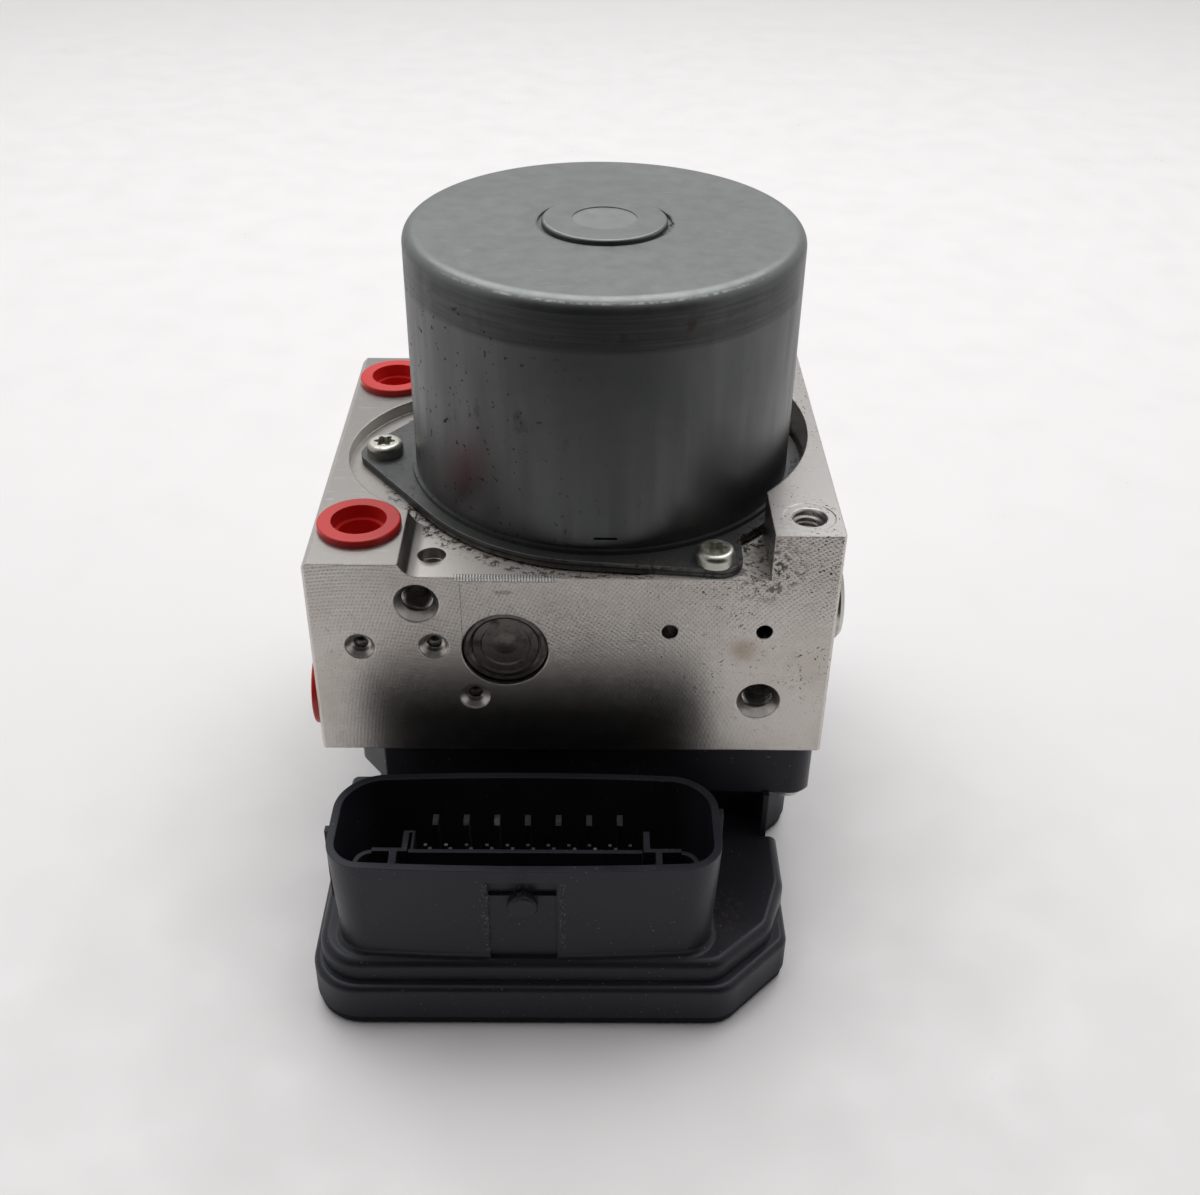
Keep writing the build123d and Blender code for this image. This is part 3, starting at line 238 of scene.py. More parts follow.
def machined_aluminium():
    """Milled block: fine cutter arcs, dark pores, grime in the pocket, bright edges, and painted
    light and shade on its tops.
    """
    material, tree, shader = new_material("machined_aluminium", (0.60, 0.575, 0.55), 1.0, 0.34)
    place = object_place(tree)
    across, depth, height = (axis_value(tree, place, axis) for axis in "XYZ")
    front = ramp(tree, depth, BLOCK_FRONT, BLOCK_FRONT + 0.0001, 1.0, 0.0)
    upper = ramp(tree, height, 0.060, 0.074, 0.25, 1.0)
    cutter = multiply(tree, milled_arcs(tree), upper, front)
    brushed = noise(tree, object_place(tree, stretch=(1, 0.08, 1)), grain=0.0006, roughness=0.6)
    grain = noise(tree, place, grain=0.0011, detail=6.0, roughness=0.7)
    fine = noise(tree, place, grain=0.0002, detail=3.0, roughness=0.6)
    pores = casting_pores(tree, place, across, height)
    stain = ramp(tree, noise(tree, place, grain=0.014, detail=6.0, roughness=0.65), 0.38, 0.72)
    slanting = object_place(tree, turn=(0.5, 0.3, 0.8), stretch=(1, 14, 14))
    scratch = ramp(tree, noise(tree, slanting, grain=0.006, detail=2.0, roughness=0.5), 0.66, 0.70)
    normal = add_node(tree, "ShaderNodeNewGeometry").outputs["Normal"]
    lying = ramp(tree, axis_value(tree, normal, "Z"), 0.6, 0.8)
    floor_level = band(tree, height, POCKET_FLOOR - 0.0008, POCKET_FLOOR + 0.0008, edge=0.0003)
    grime = pocket_grime(tree, place, floor_level, lying)
    # row of cutter marks along the pocket's front edge
    teeth = add_node(tree, "ShaderNodeTexWave", {
        "Vector": place, "Scale": 560.0, "Distortion": 0.8}, bands_direction="X").outputs["Fac"]
    row = multiply(tree, band(tree, depth, BLOCK_FRONT - 0.0005, BLOCK_FRONT + 0.0011, edge=0.0003),
                   band(tree, across, -0.0290, -0.0070, edge=0.003),
                   band(tree, height, POCKET_FLOOR - 0.0010, POCKET_FLOOR + 0.0004, edge=0.0002))
    # an upright line and a short smear on the front face, and a brown spot by the right holes
    line = multiply(tree, front, band(tree, across, -0.02665, -0.02635, edge=0.0001),
                    band(tree, height, 0.066, 0.0805, edge=0.002))
    smear = multiply(tree, front, band(tree, across, -0.0205, -0.0165, edge=0.001),
                     band(tree, height, 0.0768, 0.0782, edge=0.0006))
    brown = spot(tree, place, (0.0271, -0.0443, 0.0646), near=0.0005, far=0.004)
    worn, soft = edge_wear(tree, 0.00035)
    colour = blend_colour(tree, stain, (0.62, 0.585, 0.55), (0.53, 0.49, 0.455))
    # painted light and shade: faces that lie flat get a darker colour of their own, lighter towards
    # the right and lightest on the pocket's floor at the front
    tops_painted_light = blend_colour(tree, ramp(tree, across, 0.0, 0.035),
                             (0.355, 0.34, 0.325), (0.48, 0.465, 0.45))
    front_floor_painted_light = multiply(tree, floor_level, ramp(tree, depth, -0.034, -0.022, 1.0, 0.0))
    tops_painted_light = blend_colour(tree, front_floor_painted_light, tops_painted_light, (0.64, 0.61, 0.58))
    colour = blend_colour(tree, lying, colour, tops_painted_light)
    colour = blend_colour(tree, multiply(tree, cutter, 0.30), colour, (0.30, 0.28, 0.26))
    colour = blend_colour(tree, multiply(tree, scratch, 0.3), colour, (0.72, 0.71, 0.69))
    colour = blend_colour(tree, brown, colour, (0.42, 0.36, 0.30))
    bars = blend_colour(tree, teeth, (0.30, 0.285, 0.27), (0.85, 0.84, 0.82))
    colour = blend_colour(tree, row, colour, bars)
    colour = blend_colour(tree, multiply(tree, worn, 0.55), colour, (0.86, 0.85, 0.83))
    colour = blend_colour(tree, multiply(tree, combine(tree, "MAXIMUM", line, smear), 0.55), colour,
                          (0.20, 0.18, 0.17))
    colour = blend_colour(tree, multiply(tree, pores, 0.9), colour, (0.035, 0.028, 0.024))
    colour = blend_colour(tree, multiply(tree, grime, 0.8), colour, (0.055, 0.036, 0.026))
    tree.links.new(colour, shader.inputs["Base Color"])
    rough = ramp(tree, grain, 0.3, 0.7, 0.28, 0.35)
    dull = multiply(tree, combine(tree, "MAXIMUM", pores, grime), 0.35)
    dull = combine(tree, "ADD", dull, multiply(tree, lying, floor_level, 0.25))
    rough = combine(tree, "ADD", rough, dull)
    tree.links.new(rough, shader.inputs["Roughness"])
    bump(tree, shader, [(multiply(tree, grain, front, upper), 0.30, 0.0003),
                        (brushed, 0.05, 0.00008), (fine, 0.05, 0.00008), (cutter, 0.30, 0.00010),
                        (multiply(tree, teeth, row), 0.5, 0.0002), (pores, -0.3, 0.00010)], soft)
    return material


def can_wall(tree, place, cloud, across, height):
    """Colour, pits and ring lines of the can's wall, which is pitted at the left; the wall's colour
    is about half the top's, as painted shade.
    """
    left = ramp(tree, across, -0.034, 0.006, 1.0, 0.10)
    pits = ramp(tree, noise(tree, place, grain=0.0012, detail=1.0, roughness=0.4), 0.70, 0.73)
    pits = multiply(tree, pits, left, ramp(tree, height, 0.1255, 0.1290, 1.0, 0.0))
    upright = object_place(tree, stretch=(1, 1, 0.5))
    blotch = ramp(tree, noise(tree, upright, grain=0.0055, roughness=0.6), 0.60, 0.70)
    blotch = multiply(tree, blotch, left, band(tree, height, 0.098, 0.129, edge=0.008))
    # darker ring below the edge, with fine lines round it and two brown stains
    level = object_place(tree, stretch=(0.3, 0.3, 12))
    lines = noise(tree, level, grain=0.006, detail=3.0, roughness=0.6)
    ring = band(tree, height, *CAN_RING, edge=0.0012)
    ringed = multiply(tree, ring, ramp(tree, lines, 0.35, 0.65, low_out=0.55))
    tea = ramp(tree, noise(tree, place, grain=0.006, detail=5.0, roughness=0.65), 0.50, 0.62)
    stains = combine(tree, "MAXIMUM",
                     spot(tree, place, (0.010, -0.037, 0.128), near=0.006, far=0.020),
                     spot(tree, place, (-0.032, -0.022, 0.126), near=0.005, far=0.020))
    tea = multiply(tree, tea, band(tree, height, 0.1235, 0.1305, edge=0.003), stains)
    # painted shade: the wall's colours are about half the top's, a shaded copy of the same sheet
    colour = blend_colour(tree, cloud, (0.098, 0.102, 0.106), (0.120, 0.123, 0.126))
    colour = blend_colour(tree, multiply(tree, ringed, 0.75), colour, (0.045, 0.045, 0.048))
    colour = blend_colour(tree, multiply(tree, tea, 0.7), colour, (0.050, 0.036, 0.028))
    colour = blend_colour(tree, multiply(tree, blotch, 0.6), colour, (0.040, 0.034, 0.032))
    colour = blend_colour(tree, multiply(tree, pits, 0.75), colour, (0.020, 0.014, 0.012))
    return colour, pits, multiply(tree, lines, ring)


def can_edge_wear_and_highlight(tree, place, across, depth, height):
    """1 where the can's upper edge is worn bare, in short runs at the front; the bright runs also
    stand for a painted highlight.
    """
    rim = band(tree, height, CAN_TOP - 0.00030, CAN_TOP + 0.00015, edge=0.00015)
    worn = ramp(tree, noise(tree, place, grain=0.0016, roughness=0.7), 0.42, 0.60)
    front = multiply(tree, ramp(tree, depth, -0.033, -0.020, 1.0, 0.0),
                     ramp(tree, across, 0.02, 0.034, 1.0, 0.3))
    return multiply(tree, rim, worn, front)


def boss_dirt(tree, place, from_axis, height):
    """Dirt in the groove round the boss in the can's top, thick on one side."""
    groove = multiply(tree, band(tree, from_axis, 0.0117, 0.0134, edge=0.0003),
                      ramp(tree, height, CAN_TOP - 0.0010, CAN_TOP - 0.0004))
    dirt = ramp(tree, noise(tree, place, grain=0.0012, roughness=0.65), 0.45, 0.58)
    thick = spot(tree, place, (0.0125, -0.001, 0.1325), near=0.003, far=0.009)
    return multiply(tree, groove, combine(tree, "MAXIMUM", multiply(tree, dirt, thick), 0.25))


def motor_steel():
    """Grey passivated sheet: pitted on one side, dark under its worn top edge, its wall painted
    darker than its top as shade, and bright worn runs on its top edge that also act as a painted
    highlight.
    """
    material, tree, shader = new_material("motor_steel", (0.19, 0.205, 0.205), 0.85, 0.36)
    place = object_place(tree)
    across, depth, height = (axis_value(tree, place, axis) for axis in "XYZ")
    from_axis = axis_distance(tree, place)
    cloud = noise(tree, place, grain=0.03, detail=5.0, roughness=0.6, distortion=0.4)
    cloud = ramp(tree, cloud, 0.3, 0.7)
    disc = multiply(tree, ramp(tree, from_axis, 0.0060, 0.0063, 1.0, 0.0),
                    ramp(tree, height, CAN_TOP, CAN_TOP + 0.0010))
    slanting = object_place(tree, turn=(0, 0, 0.6), stretch=(1, 9, 9))
    scuff = ramp(tree, noise(tree, slanting, grain=0.004, detail=2.0, roughness=0.5), 0.69, 0.72)
    scuff = multiply(tree, scuff, ramp(tree, height, CAN_TOP - 0.0002, CAN_TOP + 0.0002))
    colour = blend_colour(tree, cloud, (0.180, 0.194, 0.191), (0.198, 0.211, 0.206))
    colour = blend_colour(tree, disc, colour, (0.235, 0.248, 0.242))
    colour = blend_colour(tree, multiply(tree, scuff, 0.4), colour, (0.34, 0.35, 0.34))
    side, pits, ring_lines = can_wall(tree, place, cloud, across, height)
    # the wall below the top edge takes the darker painted-shade colour
    wall = ramp(tree, height, CAN_TOP - 0.0015, CAN_TOP, 1.0, 0.0)
    colour = blend_colour(tree, wall, colour, side)
    dirt = boss_dirt(tree, place, from_axis, height)
    colour = blend_colour(tree, dirt, colour, (0.030, 0.020, 0.014))
    # bright runs on the front of the top edge: wear, and a painted highlight
    wear_and_highlight = can_edge_wear_and_highlight(tree, place, across, depth, height)
    colour = blend_colour(tree, multiply(tree, wear_and_highlight, 0.7), colour, (0.52, 0.51, 0.47))
    tree.links.new(colour, shader.inputs["Base Color"])
    drawn = object_place(tree, stretch=(1, 1, 0.12))
    rough = ramp(tree, noise(tree, drawn, grain=0.004, roughness=0.6), 0.3, 0.7, 0.36, 0.48)
    rough = combine(tree, "ADD", rough, multiply(tree, pits, 0.3))
    tree.links.new(rough, shader.inputs["Roughness"])
    fine = noise(tree, place, grain=0.0004, detail=3.0, roughness=0.6)
    bump(tree, shader, [(cloud, 0.05, 0.0006), (fine, 0.06, 0.0001), (ring_lines, 0.15, 0.0001),
                        (pits, -0.6, 0.0002)])
    return material


def flange_steel():
    """Darker plated sheet with rusty grime near its edge."""
    material, tree, shader = new_material("flange_steel", (0.13, 0.135, 0.135), 0.75, 0.42)
    place = object_place(tree)
    across, height = axis_value(tree, place, "X"), axis_value(tree, place, "Z")
    rust = ramp(tree, noise(tree, place, grain=0.0011, detail=5.0, roughness=0.68), 0.50, 0.60)
    near_rim = ramp(tree, axis_distance(tree, place), FLANGE_RIM - 0.003, FLANGE_RIM, low_out=0.25)
    right = ramp(tree, across, -0.02, 0.03, low_out=0.35)
    patches = ramp(tree, noise(tree, place, grain=0.012, detail=3.0, roughness=0.5), 0.40, 0.60)
    grime = multiply(tree, rust, near_rim, patches, right)
    flank = ramp(tree, height, PLATE_TOP - 0.0002, PLATE_TOP, 1.0, 0.0)
    seam = multiply(tree, flank, band(tree, height, 0.0815, 0.0820, edge=0.0001))
    cloud = ramp(tree, noise(tree, place, grain=0.015, roughness=0.6), 0.3, 0.7)
    worn, soft = edge_wear(tree, 0.00025)
    colour = blend_colour(tree, cloud, (0.088, 0.092, 0.093), (0.118, 0.122, 0.122))
    colour = blend_colour(tree, multiply(tree, worn, 0.5), colour, (0.34, 0.34, 0.33))
    colour = blend_colour(tree, multiply(tree, seam, 0.8), colour, (0.030, 0.022, 0.016))
    colour = blend_colour(tree, multiply(tree, grime, 0.85), colour, (0.040, 0.025, 0.017))
    tree.links.new(colour, shader.inputs["Base Color"])
    tree.links.new(ramp(tree, grime, 0.0, 1.0, 0.40, 0.75), shader.inputs["Roughness"])
    grain = noise(tree, place, grain=0.0005, roughness=0.6)
    bump(tree, shader, [(grain, 0.15, 0.0001), (grime, 0.4, 0.0002)], soft)
    return material


def plain_metal(name, colour, roughness, stain_colour):
    """Bright metal with slight stains and a fine grain."""
    material, tree, shader = new_material(name, colour, 1.0, roughness)
    place = object_place(tree)
    stain = ramp(tree, noise(tree, place, grain=0.003, detail=5.0, roughness=0.65), 0.45, 0.7)
    blend = blend_colour(tree, stain, colour, stain_colour)
    tree.links.new(blend, shader.inputs["Base Color"])
    tree.links.new(ramp(tree, stain, 0, 1, roughness, roughness + 0.2), shader.inputs["Roughness"])
    bump(tree, shader, [(noise(tree, place, grain=0.0006, roughness=0.6), 0.12, 0.0001)])
    return material


def moulded_plastic(name, colour, roughness, shade=1.25, **sockets):
    """Moulded plastic with a faint grain and clouds that are shade times lighter."""
    material, tree, shader = new_material(name, colour, 0.0, roughness, **sockets)
    place = object_place(tree)
    cloud = ramp(tree, noise(tree, place, grain=0.02, roughness=0.6), 0.3, 0.7)
    lighter = tuple(min(1.0, part * shade + 0.001) for part in colour)
    tree.links.new(blend_colour(tree, cloud, colour, lighter), shader.inputs["Base Color"])
    rough = ramp(tree, cloud, 0, 1, roughness - 0.04, roughness + 0.06)
    tree.links.new(rough, shader.inputs["Roughness"])
    grain = noise(tree, place, grain=0.00035, detail=3.0, roughness=0.6)
    bump(tree, shader, [(grain, 0.10, 0.00008)])
    return material


def latch_dust(tree, place, across, depth, height):
    """1 where dust lies thick: along both sides of the socket's latch and on its catch."""
    front = ramp(tree, depth, SOCKET_FRONT, SOCKET_FRONT + 0.0005, 1.0, 0.0)
    beside = band(tree, height, 0.0165, 0.0372, edge=0.002)
    strips = combine(tree, "MAXIMUM", band(tree, across, -0.0222, -0.0203, edge=0.0006),
                     band(tree, across, -0.0078, -0.0062, edge=0.0006))
    catch = spot(tree, place, (LATCH_ACROSS, -0.0780, 0.0338), near=0.0005, far=0.0030)
    return combine(tree, "MAXIMUM", multiply(tree, strips, front, beside), catch)


def housing_plastic():
    """Black glass-filled plastic, dusty round its latch, with a painted shadow above the latch's
    window and a brown smear on the deck.
    """
    material, tree, shader = new_material(
        "housing_plastic", (0.0080, 0.0085, 0.0105), 0.0, 0.36, Specular_IOR_Level=0.32,
        Specular_Tint=(0.90, 0.92, 1.0, 1.0))
    place = object_place(tree)
    across, depth, height = (axis_value(tree, place, axis) for axis in "XYZ")
    cloud = ramp(tree, noise(tree, place, grain=0.02, roughness=0.6), 0.3, 0.7)
    worn, soft = edge_wear(tree, 0.0003)
    flecks = ramp(tree, noise(tree, place, grain=0.00055, detail=1.0, roughness=0.4), 0.755, 0.775)
    some = ramp(tree, noise(tree, place, grain=0.02), 0.45, 0.6, low_out=0.2)
    flecks = multiply(tree, flecks, some)
    thick = latch_dust(tree, place, across, depth, height)
    film = ramp(tree, noise(tree, place, grain=0.0012, detail=5.0, roughness=0.7), 0.45, 0.62)
    crumbs = ramp(tree, noise(tree, place, grain=0.0003, detail=2.0, roughness=0.5), 0.62, 0.67)
    crumbs = multiply(tree, thick, crumbs)
    # painted shadow: a near-black spot on the wall just above the latch's window
    shade = spot(tree, place, (LATCH_ACROSS, -0.0784, 0.0373), near=0.0004, far=0.0030)
    smear = ramp(tree, noise(tree, place, grain=0.0011, detail=5.0, roughness=0.7), 0.50, 0.62)
    deck_spot = spot(tree, place, (0.0232, -0.0655, 0.0150), near=0.002, far=0.0085)
    smear = multiply(tree, smear, deck_spot)
    colour = blend_colour(tree, cloud, (0.0145, 0.0150, 0.0190), (0.0185, 0.0192, 0.0240))
    colour = blend_colour(tree, multiply(tree, worn, 0.35), colour, (0.045, 0.048, 0.052))
    colour = blend_colour(tree, multiply(tree, shade, 0.7), colour, (0.002, 0.002, 0.002))
    colour = blend_colour(tree, multiply(tree, smear, 0.55), colour, (0.085, 0.050, 0.034))
    colour = blend_colour(tree, multiply(tree, thick, film, 0.35), colour, (0.11, 0.10, 0.085))
    dust = combine(tree, "MAXIMUM", flecks, crumbs)
    colour = blend_colour(tree, multiply(tree, dust, 0.6), colour, (0.40, 0.36, 0.31))
    tree.links.new(colour, shader.inputs["Base Color"])
    rough = ramp(tree, cloud, 0, 1, 0.32, 0.42)
    rough = combine(tree, "ADD", rough, multiply(tree, thick, 0.2))
    foot = ramp(tree, height, 0.0020, 0.0105, 0.25, 0.0)
    tree.links.new(combine(tree, "ADD", rough, foot), shader.inputs["Roughness"])
    grain = noise(tree, place, grain=0.00035, detail=3.0, roughness=0.6)
    bump(tree, shader, [(grain, 0.10, 0.00008)], soft)
    return material


def wound_wire():
    """Enamelled copper wire, wound in fine rows, each row painted lighter at its crown and darker
    towards the next as shade.
    """
    material, tree, shader = new_material("wound_wire", (0.55, 0.22, 0.08), 0.9, 0.35)
    rows = add_node(tree, "ShaderNodeTexWave", {
        "Vector": object_place(tree), "Scale": 520.0, "Distortion": 0.8}, bands_direction="Z")
    # painted shade: each row darker where it meets the next
    colour = blend_colour(tree, rows.outputs["Fac"], (0.30, 0.11, 0.04), (0.62, 0.28, 0.11))
    tree.links.new(colour, shader.inputs["Base Color"])
    bump(tree, shader, [(rows.outputs["Fac"], 0.5, 0.0002)])
    return material


def solder_mask():
    """Green circuit board with faint copper tracks."""
    material, tree, shader = new_material("solder_mask", (0.02, 0.12, 0.05), 0.0, 0.35)
    place = object_place(tree)
    tracks = add_node(tree, "ShaderNodeTexBrick", {
        "Vector": place, "Scale": 260.0, "Mortar Size": 0.04, "Color1": (0.02, 0.12, 0.05, 1),
        "Color2": (0.015, 0.10, 0.045, 1), "Mortar": (0.06, 0.20, 0.09, 1)})
    tree.links.new(tracks.outputs["Color"], shader.inputs["Base Color"])
    return material


def dress(finish, *names):
    """Gives CAD nodes one finish."""
    for name in names:
        mesh = nodes[name].data
        mesh.materials.clear()
        mesh.materials.append(finish)


def starting(*openings):
    """Names of the CAD nodes that start with one of the openings."""
    return [name for name in nodes if name.startswith(openings)]


def dress_all():
    """Gives every CAD node its finish."""
    aluminium = machined_aluminium()
    bright = plain_metal("ground_steel", (0.60, 0.60, 0.60), 0.22, (0.42, 0.40, 0.38))
    zinc = plain_metal("zinc_plate", (0.55, 0.55, 0.495), 0.33, (0.43, 0.425, 0.375))
    dull = plain_metal("dull_steel", (0.150, 0.140, 0.132), 0.30, (0.085, 0.070, 0.060))
    red = moulded_plastic("red_plastic", (0.56, 0.020, 0.017), 0.34, shade=1.1,
                          Subsurface_Weight=0.08, Subsurface_Scale=0.002)
    black = housing_plastic()
    # painted shade: the lid's plastic is a darker, duller copy of the housing's, for its foot in
    # the floor's shade
    lid = moulded_plastic("lid_plastic", (0.0090, 0.0094, 0.0120), 0.55, Specular_IOR_Level=0.12)
    brown = moulded_plastic("brown_plastic", (0.10, 0.05, 0.025), 0.4)
    carbon = moulded_plastic("carbon", (0.02, 0.02, 0.021), 0.55)
    rubber = moulded_plastic("seal_rubber", (0.012, 0.012, 0.012), 0.6)
    ferrite = moulded_plastic("ferrite", (0.045, 0.045, 0.048), 0.55)
    iron = plain_metal("iron_sheet", (0.32, 0.32, 0.33), 0.38, (0.22, 0.21, 0.20))
    tin = plain_metal("tin_plate", (0.26, 0.255, 0.245), 0.30, (0.17, 0.165, 0.155))
    copper_bars = plain_metal("copper_bars", (0.72, 0.38, 0.24), 0.25, (0.40, 0.20, 0.12))
    dress(aluminium, "valve_block", "accumulator_piston_front", "accumulator_piston_rear")
    dress(motor_steel(), "motor_can")
    dress(flange_steel(), "motor_flange")
    dress(zinc, "motor_screws", "ecu_screws", "damper_caps", "pump_cap_right", "pump_cap_left")
    dress(dull, "accumulator_cap_front", "accumulator_cap_rear", "sealing_balls")
    dress(red, *starting("top_port_plug", "side_port_plug"))
    dress(black, "ecu_housing")
    dress(lid, "ecu_lid")
    dress(rubber, "ecu_seal")
    dress(brown, "brush_holder", "motor_leads", "inlet_coils", "outlet_coils")
    dress(carbon, "brush_right", "brush_left")
    dress(ferrite, "magnet_right", "magnet_left")
    dress(wound_wire(), "armature_windings")
    dress(copper_bars, "commutator")
    dress(solder_mask(), "circuit_board")
    dress(tin, "power_pins", "signal_pins")
    dress(iron, "armature_core", *[name for name in nodes if "_armature_" in name])
    dress(bright, "motor_shaft", "eccentric_ring", "rear_bearing", "front_bearing",
          "rear_bearing_inner_race", "front_bearing_inner_race", "inlet_valves", "outlet_valves",
          *starting("pump_piston", "pump_sleeve", "pump_spring", "accumulator_spring"))


# ---------------------------------------------------------------- added pieces
THREAD_PITCH = 1.0 * MM
THREAD_STEPS = 24


def closed_outline(sheet, corners):
    """Vertices at the corners, and the edges that join them into a closed outline."""
    section = [sheet.verts.new(corner) for corner in corners]
    following = section[1:] + section[:1]
    edges = [sheet.edges.new(pair) for pair in zip(section, following)]
    return section, edges


def close_ends(sheet, sides):
    """Fills the open ends of a swept outline and turns all faces outward."""
    rims = [edge for edge in sheet.edges if edge.is_boundary]
    bmesh.ops.holes_fill(sheet, edges=rims, sides=sides)
    bmesh.ops.recalc_face_normals(sheet, faces=sheet.faces)


def make_object(name, sheet, material):
    """Object in the scene with the sheet's faces and one material."""
    mesh = bpy.data.meshes.new(name)
    sheet.to_mesh(mesh)
    sheet.free()
    mesh.materials.append(material)
    made = bpy.data.objects.new(name, mesh)
    bpy.context.collection.objects.link(made)
    return made


def thread_ridge(name, mouth, outward, first, last):
    """Ridge of an M6 thread on the wall of its hole, between two depths below its mouth."""
    wall, crest = 3.03 * MM, 2.50 * MM
    foot, tip = 0.44 * THREAD_PITCH, 0.07 * THREAD_PITCH
    sheet = bmesh.new()
    section, edges = closed_outline(sheet, [
        (radius, 0, level - last) for radius, level in
        ((wall, -foot), (crest, -tip), (crest, tip), (wall, foot))])
    turns = int((last - first) / THREAD_PITCH)
    bmesh.ops.spin(sheet, geom=section + edges, cent=(0, 0, 0), axis=(0, 0, 1),
                   dvec=(0, 0, THREAD_PITCH / THREAD_STEPS), angle=turns * 2 * math.pi,
                   steps=turns * THREAD_STEPS, use_merge=False, use_normal_flip=False,
                   use_duplicate=False)
    close_ends(sheet, len(section))
    turn = Vector(outward).to_track_quat("Z", "Y").to_matrix().to_4x4()
    place = Matrix.Translation(Vector(mouth) * MM) @ turn
    bmesh.ops.transform(sheet, matrix=place, verts=sheet.verts)
    ridge = make_object(name, sheet, bpy.data.materials["machined_aluminium"])
    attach(ridge, "module")


def add_threads():
    """Thread ridges of the three M6 holes: one in the raised land, two in the front."""
    mouth_front = -44.25
    start_depth, end_depth = 2.4 * MM, 10.4 * MM
    thread_ridge("land_thread_ridge", (38.3, -37.4, 90.18), (0, 0, 1), 0.9 * MM, 11.4 * MM)
    thread_ridge("front_thread_ridge_left", (-34.8, mouth_front, 74.8), (0, -1, 0),
                 start_depth, end_depth)
    thread_ridge("front_thread_ridge_right", (30.9, mouth_front, 52.05), (0, -1, 0),
                 start_depth, end_depth)


def add_latch_inlay():
    """Fills the narrow cut left of the socket's latch, flush with the bowed and drafted wall."""
    left, right = -21.46 * MM, -16.74 * MM
    back, low, high = -77.3 * MM, 36.42 * MM, 38.62 * MM
    centre = Vector((left + right, 0, low + high)) / 2
    # Y of the wall's front at each corner, by (at the left, at the top)
    fronts = {(True, True): -78.330 * MM, (True, False): -78.243 * MM,
              (False, True): -78.374 * MM, (False, False): -78.287 * MM}
    sheet = bmesh.new()
    bmesh.ops.create_cube(sheet, size=1.0)
    bmesh.ops.scale(sheet, verts=sheet.verts, vec=(right - left, 1.0, high - low))
    bmesh.ops.translate(sheet, verts=sheet.verts, vec=centre)
    for corner in sheet.verts:
        wall = fronts[corner.co.x < centre.x, corner.co.z > centre.z]
        corner.co.y = wall if corner.co.y < 0 else back
    inlay = make_object("latch_inlay", sheet, bpy.data.materials["housing_plastic"])
    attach(inlay, "module")


def lengthen(sheet, edges, reach):
    """Draws a section's edges out straight by the reach."""
    drawn = bmesh.ops.extrude_edge_only(sheet, edges=edges)["geom"]
    corners = [part for part in drawn if isinstance(part, bmesh.types.BMVert)]
    bmesh.ops.translate(sheet, verts=corners, vec=reach)


def add_housing_flank():
    """Lip of the housing along its left flank, from the wide lip round to the back wall."""
    centre = Vector((-44.2, 38.0, 0)) * MM      # of the round corner at the back
    outer, inner, ledge = 5.0 * MM, 2.8 * MM, 1.2 * MM
    foot, roof, top = 2.52 * MM, 10.0 * MM, 12.02 * MM
    front, back_end = -26.0 * MM, -42.0 * MM
    rounding, near = 1.2 * MM, 0.01 * MM
    sheet = bmesh.new()
    section, edges = closed_outline(sheet, [
        (centre.x - radius, centre.y, level) for radius, level in
        ((outer, foot), (outer, top), (ledge, top), (ledge, roof), (inner, roof), (inner, foot))])
    lengthen(sheet, edges, (0, front - centre.y, 0))
    turned = bmesh.ops.spin(sheet, geom=section + edges, cent=centre, axis=(0, 0, 1),
                            angle=-math.pi / 2, steps=12, use_merge=False,
                            use_normal_flip=False, use_duplicate=False)["geom_last"]
    turned = [part for part in turned if isinstance(part, bmesh.types.BMEdge)]
    lengthen(sheet, turned, (back_end - centre.x, 0, 0))
    close_ends(sheet, len(section))

    def on_brink(corner):
        """True for a corner of the upper edge that runs round the outside."""
        out = Vector((min(corner.co.x - centre.x, 0), max(corner.co.y - centre.y, 0)))
        return corner.co.z > top - near and out.length > outer - near

    brink = [edge for edge in sheet.edges if all(on_brink(corner) for corner in edge.verts)]
    bmesh.ops.bevel(sheet, geom=brink, affect="EDGES", offset=rounding, segments=4, profile=0.5,
                    material=-1)
    for face in sheet.faces:
        face.smooth = True
    flank = make_object("housing_flank", sheet, bpy.data.materials["housing_plastic"])
    flank.data.set_sharp_from_angle(angle=math.radians(35))
    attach(flank, "module")


# ---------------------------------------------------------------- studio
def add_floor():
    """Pale floor on which the module stands."""
    material, tree, shader = new_material("floor_white", (0.80, 0.79, 0.79), 0.0, 0.6)
    tree.links.new(noise(tree, object_place(tree), grain=0.02), shader.inputs["Roughness"])
    sheet = bmesh.new()
    bmesh.ops.create_grid(sheet, x_segments=1, y_segments=1, size=3.0)
    floor = make_object("floor", sheet, material)


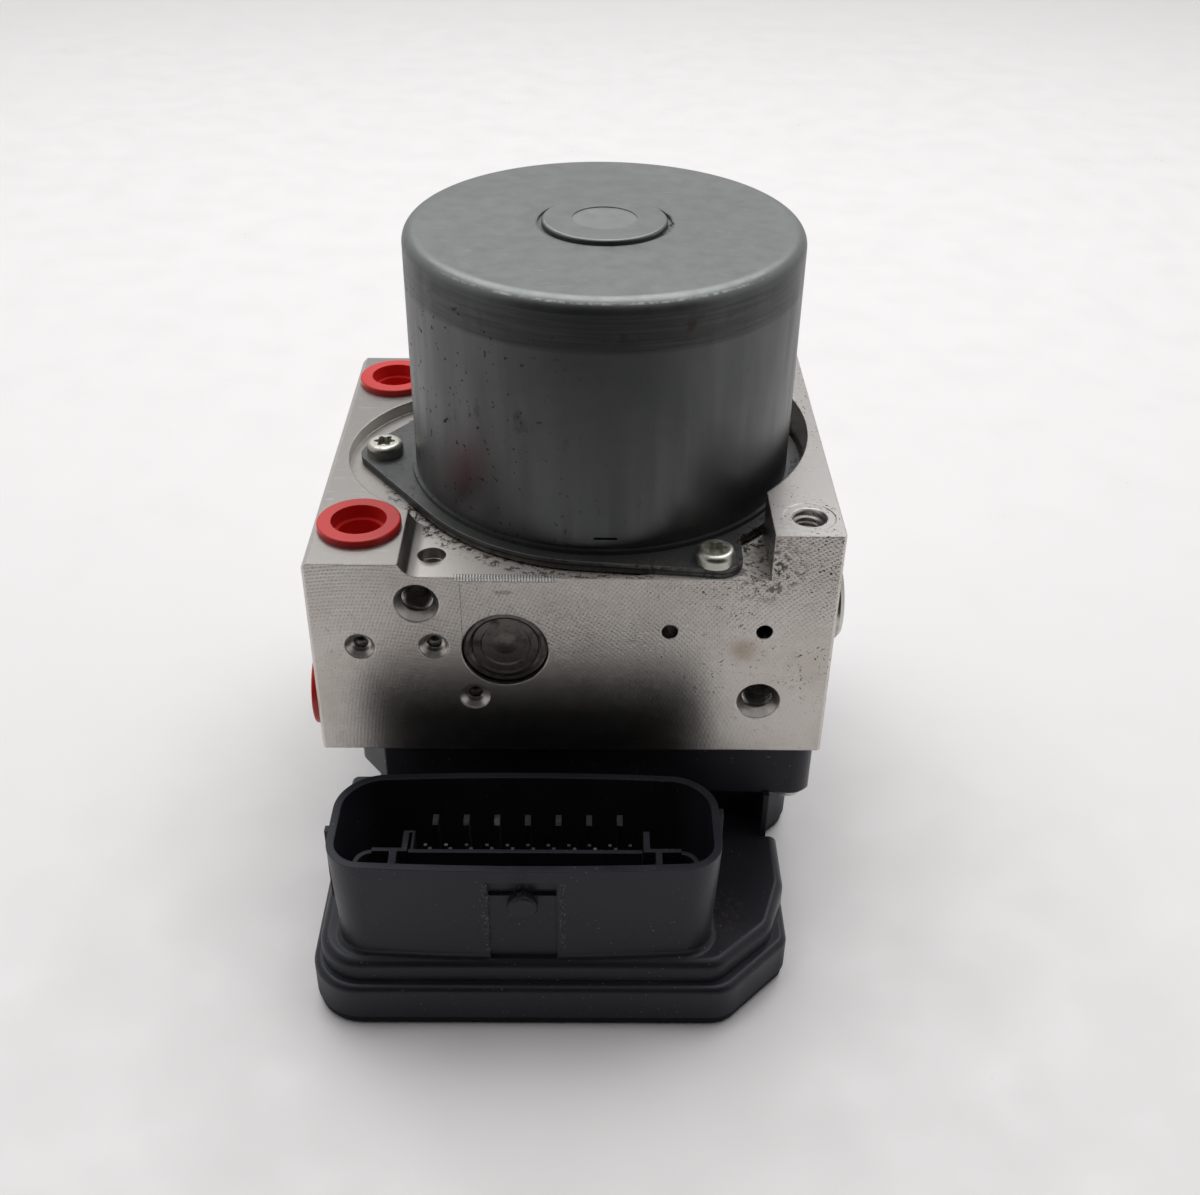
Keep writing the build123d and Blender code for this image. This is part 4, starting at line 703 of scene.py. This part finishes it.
def add_top_box():
    """Soft box above and behind the module, turned towards it."""
    place = Vector((0.0, 0.35, 0.9))
    aim = Vector((0, 0, 0.06))
    data = bpy.data.lights.new("top_box", "AREA")
    data.shape = "RECTANGLE"
    data.size, data.size_y = 1.2, 0.9
    data.energy = 8
    lamp = bpy.data.objects.new("top_box", data)
    lamp.location = place
    lamp.rotation_euler = (aim - place).to_track_quat("-Z", "Y").to_euler()
    bpy.context.collection.objects.link(lamp)


def add_card(name, first, second, upright=False, glossy_only=False):
    """Black card between two corners, to darken what faces it; the camera doesn't see it."""
    sheet = bmesh.new()
    bmesh.ops.create_grid(sheet, x_segments=1, y_segments=1, size=0.5)
    if upright:
        bmesh.ops.rotate(sheet, verts=sheet.verts, matrix=Matrix.Rotation(math.pi / 2, 3, "X"))
    bmesh.ops.scale(sheet, verts=sheet.verts, vec=[b - a or 1 for a, b in zip(first, second)])
    bmesh.ops.translate(sheet, verts=sheet.verts, vec=(Vector(first) + Vector(second)) / 2)
    black = (0.01, 0.01, 0.01)
    matt_black = new_material(name, black, 0.0, 0.9, Specular_IOR_Level=0.0)[0]
    card = make_object(name, sheet, matt_black)
    card.visible_camera = False
    if glossy_only:
        card.visible_diffuse = False
        card.visible_shadow = False
        card.visible_transmission = False
        card.visible_volume_scatter = False


def add_studio():
    """Even tent light, the soft box, and black cards on the camera's side; the one on the floor is
    seen only in reflections, a painted stand-in for the floor in shade.
    """
    add_floor()
    world = bpy.data.worlds.new("tent")
    world.use_nodes = True
    background = world.node_tree.nodes["Background"]
    background.inputs["Color"].default_value = (1.0, 0.985, 0.98, 1)
    background.inputs["Strength"].default_value = 0.62
    bpy.context.scene.world = world
    add_top_box()
    add_card("dark_side", (-1.2, -0.75, 0.0), (1.2, -0.75, 1.3), upright=True)
    # black sheet on the floor in front, seen only in reflections: painted shade standing in for the
    # shaded floor on the camera's side
    add_card("floor_shade_card", (-0.5, -1.2, 0.0005), (0.5, -0.235, 0.0005), glossy_only=True)
    bpy.context.scene.view_settings.view_transform = "Standard"


add_camera()
dress_all()
add_threads()
add_latch_inlay()
add_housing_flank()
add_studio()
